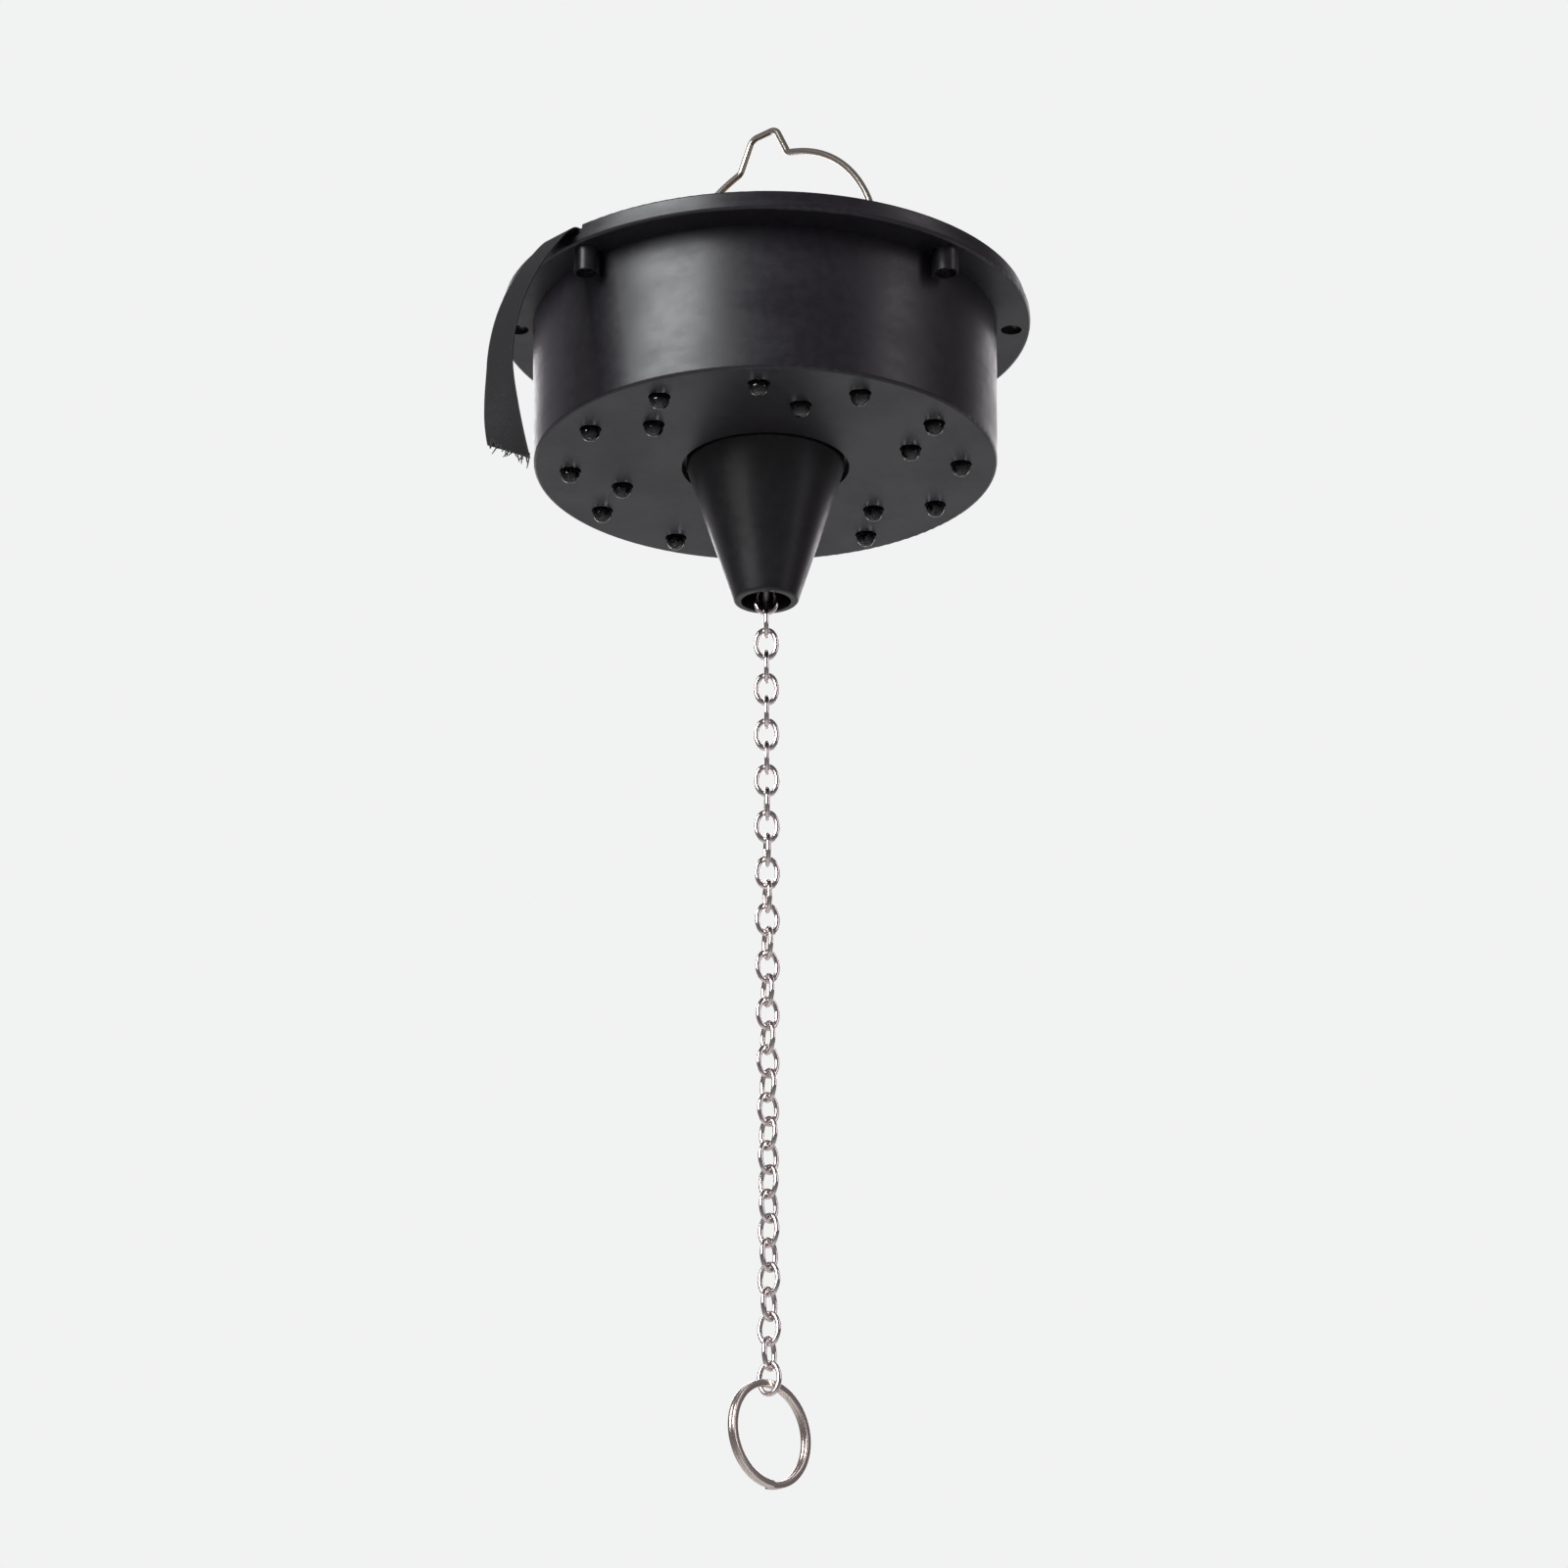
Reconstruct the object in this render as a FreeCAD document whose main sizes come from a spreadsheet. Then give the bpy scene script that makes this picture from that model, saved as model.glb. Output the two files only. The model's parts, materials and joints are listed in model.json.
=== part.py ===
"""Battery mirror-ball motor: a ceiling can with a ring of lights, a geared rotor and a hanging chain.

Millimetres, +Z up. The origin is the middle of the can's top face, midway between the two screw
holes, on the plane that meets a ceiling. Heights inside the can are counted up from its bottom face,
and every body is placed so that the bottom face lies one can depth below the origin.
"""

import FreeCAD, Part

import os
import re
from math import acos, atan2, cos, hypot, pi, radians, sin, sqrt, tan

import Sketcher

Vector = FreeCAD.Vector
UP = Vector(0, 0, 1)

# Driving dimensions: name, value, what it is. Angles are degrees, all else is millimetres.
SIZES = [
    ("can_depth", 45.4, "can's bottom face up to the top face of the cover"),
    ("can_radius", 60.5, "outside of the can at its bottom"),
    ("can_draft", 0.6, "how much wider the can is at the flange"),
    ("wall", 2.0, "can wall"),
    ("floor_top", 2.2, "inside face of the can's floor"),
    ("edge_round", 0.9, "rounding of the can's and flange's outer edges"),
    ("flange_low", 39.9, "underside of the flange"),
    ("flange_high", 42.0, "top of the flange, where the cover sits"),
    ("flange_radius", 70.0, "outside of the flange"),
    ("rim_radius", 69.0, "outside of the cover"),
    ("hole_spacing", 130.0, "between the two ceiling screw holes"),
    ("hole_radius", 2.75, "ceiling screw holes"),
    ("boss_ring", 65.0, "ring of the four cover screws"),
    ("boss_radius", 3.25, "outside of a screw boss"),
    ("boss_height", 6.4, "how far a boss stands below the flange"),
    ("boss_web", 2.0, "web that joins a boss to the can"),
    ("screw_head", 2.5, "radius of a cover screw's head"),
    ("head_height", 1.7, "height of a cover screw's head"),
    ("counterbore", 2.65, "radius of the recess that a screw head sits in"),
    ("counterbore_depth", 3.6, "how deep a screw head sits up the boss"),
    ("clearance_radius", 1.6, "hole that a cover screw passes through"),
    ("pilot_radius", 1.3, "hole that a cover screw cuts its thread in"),
    ("shank_radius", 1.25, "cover screw's shank"),
    ("outer_ring", 51.0, "ring of the outer lights"),
    ("outer_count", 12, "outer lights"),
    ("inner_ring", 39.3, "ring of the inner lights"),
    ("inner_count", 6, "inner lights"),
    ("light_turn", -2.3, "turn of both rings of lights from the screw holes"),
    ("light_radius", 2.5, "dome of a light"),
    ("light_rim", 2.9, "rim of a light"),
    ("light_drop", 3.35, "how far a light stands out of the floor"),
    ("light_hole", 2.85, "hole in the floor for a light"),
    ("collar_radius", 4.0, "collar round a light inside the can"),
    ("collar_top", 4.1, "top of the collars"),
    ("board_low", 5.3, "underside of the circuit board"),
    ("board_thickness", 1.6, "circuit board"),
    ("board_inner", 35.3, "hole in the circuit board"),
    ("board_outer", 55.5, "outside of the circuit board"),
    ("board_post_ring", 45.5, "ring of the three board posts"),
    ("post_radius", 3.0, "outside of a post"),
    ("post_pilot", 0.9, "screw hole in a post"),
    ("gear_post_ring", 30.5, "ring of the four posts under the gearbox"),
    ("base_low", 9.0, "underside of the gearbox base"),
    ("base_thickness", 2.0, "gearbox base"),
    ("base_radius", 50.0, "outside of the gearbox base"),
    ("lid_low", 22.6, "underside of the gearbox lid"),
    ("lid_thickness", 2.0, "gearbox lid"),
    ("mouth_radius", 21.9, "hole in the floor round the rotor"),
    ("cone_radius", 20.6, "rotor at the can's bottom face"),
    ("cone_drop", 38.0, "how far the cone reaches below the can"),
    ("cone_tip_radius", 8.3, "outside of the cone's mouth"),
    ("cone_bore", 6.5, "inside of the cone's mouth"),
    ("cone_wall", 2.0, "wall of the cone"),
    ("tip_round", 0.9, "rounding of the cone's mouth"),
    ("washer_inner", 22.2, "thrust washer's hole"),
    ("washer_outer", 25.4, "thrust washer's outside"),
    ("washer_thickness", 0.6, "thrust washer"),
    ("rotor_flange", 25.0, "radius of the rotor's flange, which carries the ball"),
    ("flange_plate", 1.5, "rotor's flange"),
    ("hub_radius", 7.0, "rotor's hub, which the output gear sits on"),
    ("journal_radius", 4.0, "rotor's journal in the gearbox base"),
    ("running_gap", 0.05, "radial clearance of a shaft in its hole"),
    ("pin_drop", 35.2, "cross pin below the can's bottom face"),
    ("pin_radius", 1.0, "cross pin"),
    ("link_length", 9.1, "chain link, outside"),
    ("link_width", 6.7, "chain link, outside"),
    ("link_wire", 0.68, "radius of the chain's wire"),
    ("link_end_bend", 2.2, "bend of a link's ends, to the middle of its wire"),
    ("link_pitch", 6.295, "from one link's middle to the next"),
    ("ring_radius", 13.5, "outside of the split ring"),
    ("ring_band", 1.7, "split ring, across the band"),
    ("ring_coil", 1.1, "thickness of one turn of the split ring"),
    ("ring_turn", 43.5, "direction that the split ring faces along"),
    ("axle_radius", 1.0, "gear pins and motor shaft"),
    ("motor_place", 45.0, "motor's shaft from the can's axis"),
    ("motor_radius", 10.0, "round sides of the motor"),
    ("motor_flat", 7.55, "flat sides of the motor"),
    ("motor_low", 16.0, "bottom of the motor's case"),
    ("motor_high", 40.5, "top of the motor"),
    ("bay_turn", 45.0, "turn of the battery bay, gears and bail from the screw holes"),
    ("bay_length", 57.8, "battery bay along the cells"),
    ("bay_width", 59.4, "battery bay across the cells"),
    ("bay_floor", 27.8, "inside face of the battery bay's floor"),
    ("bay_wall", 1.5, "battery bay's walls"),
    ("cell_radius", 7.1, "battery cell"),
    ("cell_length", 50.5, "battery cell with its nub"),
    ("cell_pitch", 14.6, "from one cell to the next"),
    ("cell_level", 35.6, "cells' axes"),
    ("contact_thickness", 0.4, "contact plates"),
    ("ribbon_width", 10.0, "battery ribbon"),
    ("ribbon_thickness", 0.3, "battery ribbon"),
    ("ribbon_turn", 222.0, "direction in which the ribbon leaves the cover"),
    ("channel_depth", 1.2, "shallow channel in the cover for the ribbon"),
    ("bail_radius", 41.3, "bend of the bail, to the middle of its wire"),
    ("bail_wire", 0.9, "radius of the bail's wire"),
    ("bail_pivot", 43.9, "bail's pivot"),
    ("bail_centre", 48.8, "middle of the bail's bend"),
    ("bail_top", 97.8, "top of the bail's loop"),
    ("bail_groove", 1.3, "half the width of the groove that the bail folds into"),
    ("groove_floor", 42.8, "bottom of the bail's groove"),
    ("switch_level", 31.0, "middle of the slide switch"),
    ("switch_travel", 4.0, "travel of the slide switch"),
]

# Gears, from the motor to the rotor: module, teeth.
PRESSURE_ANGLE = radians(20)
MOTOR_PINION = (0.5, 12)
FIRST_WHEEL, FIRST_PINION = (0.5, 60), (0.5, 12)
SECOND_WHEEL, SECOND_PINION = (0.5, 60), (0.6, 12)
THIRD_WHEEL, THIRD_PINION = (0.6, 50), (0.8, 12)
OUTPUT_WHEEL = (0.8, 60)
SECOND_GEAR_SIDE = radians(110)

# Heights of the gears' faces above the can's bottom face.
OUTPUT_LEVEL = (4.5, 8.5)
FIRST_LEVEL = (11.4, 14.4)
SECOND_LEVEL = (15.0, 18.0)
THIRD_LEVEL = (18.6, 21.6)
GEAR_HUB = 2.4

LINKS_PER_SECTION = 3
SECTIONS = 11
STRAIGHT_LINKS = 8
TWIST_PER_LINK = 2.6

DOC = FreeCAD.newDocument("mirror_ball_motor")
SHEET = DOC.addObject("Spreadsheet::Sheet", "dims")
for row, (alias, number, meaning) in enumerate(SIZES, 1):
    SHEET.set(f"A{row}", meaning)
    SHEET.set(f"B{row}", str(number))
    SHEET.setAlias(f"B{row}", alias)
DOC.recompute()
ALIASES = {alias for alias, _, _ in SIZES}
NODES = []


def bound(expression):
    """The expression with each alias made a reference to the sheet."""
    def reference(word):
        return f"dims.{word[0]}" if word[0] in ALIASES else word[0]
    return re.sub(r"[a-z_]+", reference, str(expression))


def size(expression):
    """The expression's value as a plain number."""
    return float(SHEET.evalExpression(bound(expression)))


def polar(ring, angle):
    """Sheet expressions for the point at an angle in degrees on a ring."""
    return f"({ring}) * cos(({angle}) * 1 deg)", f"({ring}) * sin(({angle}) * 1 deg)"


def box(low_x, low_y, high_x, high_y):
    """Corners of a rectangle."""
    return [(low_x, low_y), (high_x, low_y), (high_x, high_y), (low_x, high_y)]


class Piece:
    """One sub-part as a PartDesign body whose sketches and features are bound to the sheet."""

    def __init__(self, label, turn="0"):
        self.body = DOC.addObject("PartDesign::Body", label)
        self.body.Label = label
        self.body.AllowCompound = True
        self.body.Placement = FreeCAD.Placement(Vector(), FreeCAD.Rotation(UP, size(turn)))
        self.body.setExpression("Placement.Base.z", bound("-can_depth"))
        NODES.append(self.body)

    def origin(self, role):
        return next(feature for feature in self.body.Origin.OriginFeatures if feature.Role == role)

    def sketch(self, role, shapes, offset=None):
        """A sketch of closed shapes: (x, y, radius) is a circle and a list of (x, y) is a polygon."""
        sketch = self.body.newObject("Sketcher::SketchObject", f"{self.body.Label}_sketch")
        sketch.AttachmentSupport = [(self.origin(role), "")]
        sketch.MapMode = "FlatFace"
        for axis, expression in (offset or {}).items():
            sketch.setExpression(f"AttachmentOffset.Base.{axis}", bound(expression))
        for shape in shapes:
            if isinstance(shape, tuple):
                self.circle(sketch, *shape)
            else:
                self.polygon(sketch, shape)
        return sketch

    def pin_point(self, sketch, geometry, position, x, y):
        for kind, expression in (("DistanceX", x), ("DistanceY", y)):
            constraint = Sketcher.Constraint(kind, -1, 1, geometry, position, size(expression))
            number = sketch.addConstraint(constraint)
            sketch.setExpression(f"Constraints[{number}]", bound(expression))

    def circle(self, sketch, x, y, radius):
        centre = Vector(size(x), size(y), 0)
        geometry = sketch.addGeometry(Part.Circle(centre, UP, size(radius)), False)
        number = sketch.addConstraint(Sketcher.Constraint("Radius", geometry, size(radius)))
        sketch.setExpression(f"Constraints[{number}]", bound(radius))
        self.pin_point(sketch, geometry, 3, x, y)

    def polygon(self, sketch, corners):
        points = [Vector(size(x), size(y), 0) for x, y in corners]
        sides = [
            sketch.addGeometry(Part.LineSegment(start, end), False)
            for start, end in zip(points, points[1:] + points[:1])
        ]
        for side, following in zip(sides, sides[1:] + sides[:1]):
            sketch.addConstraint(Sketcher.Constraint("Coincident", side, 2, following, 1))
        for side, (x, y) in zip(sides, corners):
            self.pin_point(sketch, side, 1, x, y)

    def feature(self, kind, sketch, grows):
        """A feature of a sketch, not yet recomputed, with a note of whether it adds or removes."""
        self.volume = self.body.Shape.Volume if self.body.Shape.Solids else 0.0
        self.grows = grows
        feature = self.body.newObject(f"PartDesign::{kind}", f"{self.body.Label}_{kind.lower()}")
        feature.Profile = sketch
        return feature

    def done(self, feature):
        """Recompute, and stop if the feature did nothing."""
        DOC.recompute()
        change = self.body.Shape.Volume - self.volume
        if change == 0 or (change > 0) != self.grows:
            raise ValueError(f"{feature.Label} changed the volume by {change}")
        return feature

    def pad(self, low, high, shapes):
        feature = self.feature("Pad", self.sketch("XY_Plane", shapes, {"z": low}), True)
        feature.setExpression("Length", bound(f"({high}) - ({low})"))
        return self.done(feature)

    def pocket(self, low, high, shapes):
        """Cut straight down from high to low."""
        feature = self.feature("Pocket", self.sketch("XY_Plane", shapes, {"z": high}), False)
        feature.setExpression("Length", bound(f"({high}) - ({low})"))
        return self.done(feature)

    def side_pocket(self, near, far, shapes):
        """Cut along +Y from near to far; the shapes are drawn in X and Z."""
        sketch = self.sketch("XZ_Plane", shapes, {"z": f"-({near})"})
        feature = self.feature("Pocket", sketch, False)
        feature.setExpression("Length", bound(f"({far}) - ({near})"))
        return self.done(feature)

    def revolve(self, corners, x="0", y="0", cut=False):
        """Turn an outline of (radius, height) about the upright line through (x, y)."""
        sketch = self.sketch("XZ_Plane", [corners], {"x": x, "z": f"-({y})"})
        feature = self.feature("Groove" if cut else "Revolution", sketch, not cut)
        feature.ReferenceAxis = (sketch, ["V_Axis"])
        feature.Angle = 360
        return self.done(feature)

    def around(self, feature, count):
        """Repeat a feature evenly about the can's axis."""
        pattern = self.body.newObject("PartDesign::PolarPattern", f"{feature.Label}_pattern")
        pattern.Originals = [feature]
        pattern.Axis = (self.origin("Z_Axis"), [""])
        pattern.Angle = 360
        pattern.Occurrences = int(size(count))
        self.body.Tip = pattern
        DOC.recompute()
        return pattern

    def fillet(self, radius, wanted):
        """Round the edges that wanted(edge) picks from the tip."""
        base = self.body.Tip
        names = [f"Edge{number}" for number, edge in enumerate(base.Shape.Edges, 1) if wanted(edge)]
        feature = self.body.newObject("PartDesign::Fillet", f"{self.body.Label}_fillet")
        feature.Base = (base, names)
        feature.setExpression("Radius", bound(radius))
        self.body.Tip = feature
        DOC.recompute()
        return feature


def rim(radius, height):
    """A test for whole circular edges about the can's axis of this radius at this height."""

    def wanted(edge):
        circle = edge.Curve
        if not isinstance(circle, Part.Circle):
            return False
        centred = hypot(circle.Center.x, circle.Center.y) < 0.01
        fits = abs(circle.Radius - size(radius)) < 0.01
        return centred and fits and abs(circle.Center.z - size(height)) < 0.01

    return wanted


def feature_of(label, shape, turn=0.0, base=None):
    """A sub-part made with Part's own functions, placed after its shape is set."""
    node = DOC.addObject("Part::Feature", label)
    node.Label = label
    node.Shape = shape
    rise = Vector(0, 0, -size("can_depth")) + (base or Vector())
    node.Placement = FreeCAD.Placement(rise, FreeCAD.Rotation(UP, turn)) * shape.Placement
    NODES.append(node)


# ---------------------------------------------------------------- case


def housing():
    can = Piece("housing")
    top_radius = "can_radius + can_draft"
    can.revolve([
        ("mouth_radius", "0"),
        ("can_radius", "0"),
        (top_radius, "flange_low"),
        ("flange_radius", "flange_low"),
        ("flange_radius", "flange_high"),
        (f"{top_radius} - wall", "flange_high"),
        ("can_radius - wall", "floor_top"),
        ("mouth_radius", "floor_top"),
    ])
    for radius, height in (("can_radius", "0"), ("flange_radius", "flange_low")):
        can.fillet("edge_round", rim(radius, height))
    bosses(can)
    light_holes(can)
    posts(can)
    switch_opening(can)
    hole = can.pocket("flange_low - 1", "flange_high + 1", [("hole_spacing / 2", "0", "hole_radius")])
    can.around(hole, "2")


def bosses(can):
    """Four hollow bosses under the flange, each joined to the can by a web."""
    low = "flange_low - boss_height"
    x, y = polar("boss_ring", "45")
    can.around(can.pad(low, "flange_low + 1", [(x, y, "boss_radius")]), "4")
    inner, outer = "can_radius - wall / 2", "boss_ring"
    web = [(polar(ring, f"45 + {side} * 0.5 * boss_web / ({ring}) * 57.3"))
           for ring, side in ((inner, "-1"), (outer, "-1"), (outer, "1"), (inner, "1"))]
    can.around(can.pad(low, "flange_low + 1", [web]), "4")
    deep = can.pocket(low, f"{low} + counterbore_depth", [(x, y, "counterbore")])
    can.around(deep, "4")
    through = can.pocket(f"{low} + counterbore_depth", "flange_high", [(x, y, "clearance_radius")])
    can.around(through, "4")


def light_holes(can):
    """A hole and a collar for every light."""
    for ring, count, start in lights():
        x, y = polar(ring, start)
        can.around(can.pad("floor_top", "collar_top", [(x, y, "collar_radius")]), count)
        can.around(can.pocket("0", "collar_top", [(x, y, "light_hole")]), count)


def lights():
    """Each ring of lights: its radius, how many, and the angle of the first."""
    return [("outer_ring", "outer_count", "light_turn"), ("inner_ring", "inner_count", "light_turn + 45")]


BOARD_POST_ANGLES = (13, 133, 253)
GEAR_POST_ANGLES = (165, 205, 285, 345)


def posts(can):
    """Posts for the circuit board and the gearbox, and the socket of the third gear's pin."""
    for angle in BOARD_POST_ANGLES:
        x, y = polar("board_post_ring", angle)
        can.pad("floor_top", "board_low", [(x, y, "post_radius")])
        can.pocket("floor_top", "board_low", [(x, y, "post_pilot")])
    for angle in GEAR_POST_ANGLES:
        x, y = polar("gear_post_ring", angle)
        can.pad("floor_top", "base_low", [(x, y, "post_radius")])
        can.pocket("floor_top", "base_low", [(x, y, "post_pilot")])
    x, y = in_can(gear_centres()["third"])
    can.pad("floor_top", "floor_top + 2", [(x, y, "2.2")])
    can.pocket("floor_top", "floor_top + 2", [(x, y, "axle_radius")])


def switch_opening(can):
    """A flat pad inside the wall for the slide switch, and the slot that its knob comes through."""
    can.pad("switch_level - 5", "switch_level + 5", [box("-11", "56.2", "11", "59.2")])
    half = "(switch_travel + 4.6) / 2"
    slot = box(f"-({half})", "switch_level - 1.8", half, "switch_level + 1.8")
    can.side_pocket("54", "64", [slot])


def cover():
    """Top cover with the battery bay, and the groove that the bail folds down into."""
    top = Piece("cover_blank", "bay_turn")
    bay_x, bay_y = "bay_width / 2", "bay_length / 2"
    shell_x, shell_y = f"{bay_x} + bay_wall", f"{bay_y} + bay_wall"
    skirt = "can_radius + can_draft - wall - 0.4"
    top.revolve([
        ("0", "flange_high"),
        (f"{skirt} - 2", "flange_high"),
        (f"{skirt} - 2", "flange_low"),
        (skirt, "flange_low"),
        (skirt, "flange_high"),
        ("rim_radius", "flange_high"),
        ("rim_radius", "can_depth"),
        ("0", "can_depth"),
    ])
    top.fillet("edge_round / 2", rim("rim_radius", "can_depth"))
    top.pad("bay_floor - bay_wall", "flange_high + 1",
            [box(f"-({shell_x})", f"-({shell_y})", shell_x, shell_y)])
    top.pocket("bay_floor", "can_depth", [box(f"-({bay_x})", f"-({bay_y})", bay_x, bay_y)])
    x, y = polar("boss_ring", "0")
    top.around(top.pocket("flange_high", "flange_high + 2.6", [(x, y, "pilot_radius")]), "4")
    x, y = polar("hole_spacing / 2", "-bay_turn")
    top.around(top.pocket("flange_high - 1", "can_depth", [(x, y, "hole_radius")]), "2")
    along = "ribbon_turn - bay_turn"
    reach, half = "flange_radius", "ribbon_width / 2 + 1"
    channel = [(f"{near} * cos(({along}) * 1 deg) - {side} * ({half}) * sin(({along}) * 1 deg)",
                f"{near} * sin(({along}) * 1 deg) + {side} * ({half}) * cos(({along}) * 1 deg)")
               for near, side in (("25", "-1"), (reach, "-1"), (reach, "1"), ("25", "1"))]
    top.pocket("can_depth - channel_depth", "can_depth", [channel])
    cut_from("cover", top, bail_groove())


def bail_groove():
    """The trench that the bail folds down into, on the side away from the ribbon, and its two sockets."""
    floor = size("groove_floor")
    depth = size("can_depth") - floor + 1
    radius, half = size("bail_radius"), size("bail_groove")
    rise = size("bail_centre - bail_pivot")
    centre = Vector(rise, 0, floor)
    bend = Part.makeCylinder(radius + half, depth, centre, UP)
    bend = bend.cut(Part.makeCylinder(radius - half, depth, centre, UP))
    bend = bend.common(Part.makeBox(80, 160, depth, Vector(rise, -80, floor)))
    loop_end = size("bail_top - bail_pivot") + half
    loop_half = LOOP_FOOT + 2 * half
    start = rise + radius - 4
    loop = Part.makeBox(loop_end - start, 2 * loop_half, depth, Vector(start, -loop_half, floor))
    trench = [bend, loop]
    for side in (-1, 1):
        inner = radius - PIVOT_BEND - 2 * half
        leg = Part.makeBox(rise + half, radius + half - inner, depth, Vector(-half, inner, floor))
        socket_end = radius - PIVOT_BEND - PIN_REACH - 0.4
        socket = Part.makeCylinder(size("bail_wire + running_gap"), inner - socket_end,
                                   Vector(0, socket_end, size("bail_pivot")), Vector(0, 1, 0))
        for shape in (leg, socket):
            trench.append(shape if side > 0 else shape.mirror(Vector(), Vector(0, 1, 0)))
    return trench[0].multiFuse(trench[1:])


def cut_from(label, piece, shape):
    """The piece less a shape that stands in the piece's own coordinates."""
    tool = DOC.addObject("Part::Feature", f"{label}_tool")
    tool.Shape = shape
    tool.Placement = piece.body.Placement
    cut = DOC.addObject("Part::Cut", label)
    cut.Label = label
    cut.Base = piece.body
    cut.Tool = tool
    NODES[NODES.index(piece.body)] = cut
    DOC.recompute()


def screw(head, head_height, shank, length):
    """A pan-head screw with a cross recess, head down, the head's underside at the origin."""
    body = Part.makeCylinder(head, head_height, Vector(0, 0, -head_height), UP)
    body = body.makeFillet(head_height * 0.4, [edge for edge in body.Edges
                                               if abs(edge.BoundBox.ZMax + head_height) < 1e-6])
    body = body.fuse(Part.makeCylinder(shank, length, Vector(), UP))
    arm, width, deep = head * 1.1, head * 0.24, head_height * 0.5
    for long_x, long_y in ((arm, width), (width, arm)):
        body = body.cut(Part.makeBox(long_x, long_y, deep, Vector(-long_x / 2, -long_y / 2, -head_height)))
    return body


def copies(shape, places):
    """Compound of the shape at each place."""
    return Part.makeCompound([shape.translated(place) for place in places])


def ring_places(ring, angles, height):
    return [Vector(ring * cos(radians(angle)), ring * sin(radians(angle)), height) for angle in angles]


def cover_screws():
    head_seat = size("flange_low - boss_height + counterbore_depth")
    length = size("flange_high + 2.4") - head_seat
    one = screw(size("screw_head"), size("head_height"), size("shank_radius"), length)
    feature_of("cover_screws", copies(one, ring_places(size("boss_ring"), (45, 135, 225, 315), head_seat)))


# ---------------------------------------------------------------- bail

LOOP_FOOT = 8.8
LOOP_SHOULDER = 4.4
LOOP_RUN = 2.4
LOOP_FOOT_BEND = 1.6
LOOP_TOP_BEND = 3.0
PIVOT_BEND = 1.5
PIN_REACH = 3.6


def rounded_path(points, radii):
    """Straight runs through the points with a tangent arc at each inner point."""
    edges, start = [], points[0]
    for before, corner, after, radius in zip(points, points[1:], points[2:], radii):
        back, on = (before - corner).normalize(), (after - corner).normalize()
        half_angle = back.getAngle(on) / 2
        reach = radius / tan(half_angle)
        middle = (back + on).normalize()
        centre = corner + middle * (radius / sin(half_angle))
        first, last = corner + back * reach, corner + on * reach
        if (first - start).Length > 1e-6:
            edges.append(Part.LineSegment(start, first).toShape())
        edges.append(Part.Arc(first, centre - middle * radius, last).toShape())
        start = last
    edges.append(Part.LineSegment(start, points[-1]).toShape())
    return edges


def bail():
    """Wire hanger: two pins, two legs, a half-round bend and a loop at the top that takes a hook."""
    radius, centre, pivot, top = (size(f"bail_{name}") for name in ("radius", "centre", "pivot", "top"))
    inner = radius - PIVOT_BEND - PIN_REACH
    bend_end = acos((LOOP_FOOT + LOOP_RUN) / radius)

    def on_bend(sign, angle):
        return Vector(sign * radius * cos(angle), 0, centre + radius * sin(angle))

    def side(sign):
        leg = rounded_path([Vector(sign * inner, 0, pivot), Vector(sign * radius, 0, pivot),
                            Vector(sign * radius, 0, centre)], [PIVOT_BEND])
        bend = Part.Arc(on_bend(sign, 0), on_bend(sign, bend_end / 2), on_bend(sign, bend_end))
        return leg + [bend.toShape()]

    def foot(sign):
        """Where the loop's side meets the run that carries on straight from the bend."""
        start = on_bend(sign, bend_end)
        return start + Vector(-sign * sin(bend_end), 0, cos(bend_end)) * (LOOP_RUN / sin(bend_end))

    loop = rounded_path([on_bend(-1, bend_end), foot(-1), Vector(-LOOP_SHOULDER, 0, top),
                         Vector(LOOP_SHOULDER, 0, top), foot(1), on_bend(1, bend_end)],
                        [LOOP_FOOT_BEND, LOOP_TOP_BEND, LOOP_TOP_BEND, LOOP_FOOT_BEND])
    wire = Part.Wire(Part.__sortEdges__(side(-1) + loop + side(1)))
    profile = Part.Wire([Part.Circle(Vector(-inner, 0, pivot), Vector(1, 0, 0), size("bail_wire")).toShape()])
    feature_of("bail", wire.makePipeShell([profile], True, True), size("bay_turn") - 90)


# ---------------------------------------------------------------- lights


def one_light():
    """A clear five-millimetre light, dome down, standing on the circuit board."""
    radius, drop = size("light_radius"), size("light_drop")
    high = size("board_low")
    centre = Vector(0, 0, radius - drop)
    dome = Part.makeSphere(radius, centre)
    barrel = Part.makeCylinder(radius, high - centre.z, centre, UP)
    collar = Part.makeCylinder(size("light_rim"), 1, Vector(0, 0, high - 1), UP)
    return dome.fuse(barrel).fuse(collar).removeSplitter()


def light_group(label, ring, count, start):
    number = int(size(count))
    angles = [size(start) + step * 360 / number for step in range(number)]
    feature_of(label, copies(one_light(), ring_places(size(ring), angles, 0)))


def led_board():
    board = Piece("led_board")
    high = "board_low + board_thickness"
    board.pad("board_low", high, [("0", "0", "board_outer"), ("0", "0", "board_inner")])
    for angle in BOARD_POST_ANGLES:
        x, y = polar("board_post_ring", angle)
        board.pocket("board_low", high, [(x, y, "post_pilot + 0.3")])


def board_screws():
    seat = size("board_low + board_thickness")
    one = screw(1.8, 1.1, size("post_pilot - 0.05"), 4.4)
    one.rotate(Vector(), Vector(1, 0, 0), 180)
    places = ring_places(size("board_post_ring"), BOARD_POST_ANGLES, seat)
    feature_of("board_screws", copies(one, places))


# ---------------------------------------------------------------- gearbox


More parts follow.
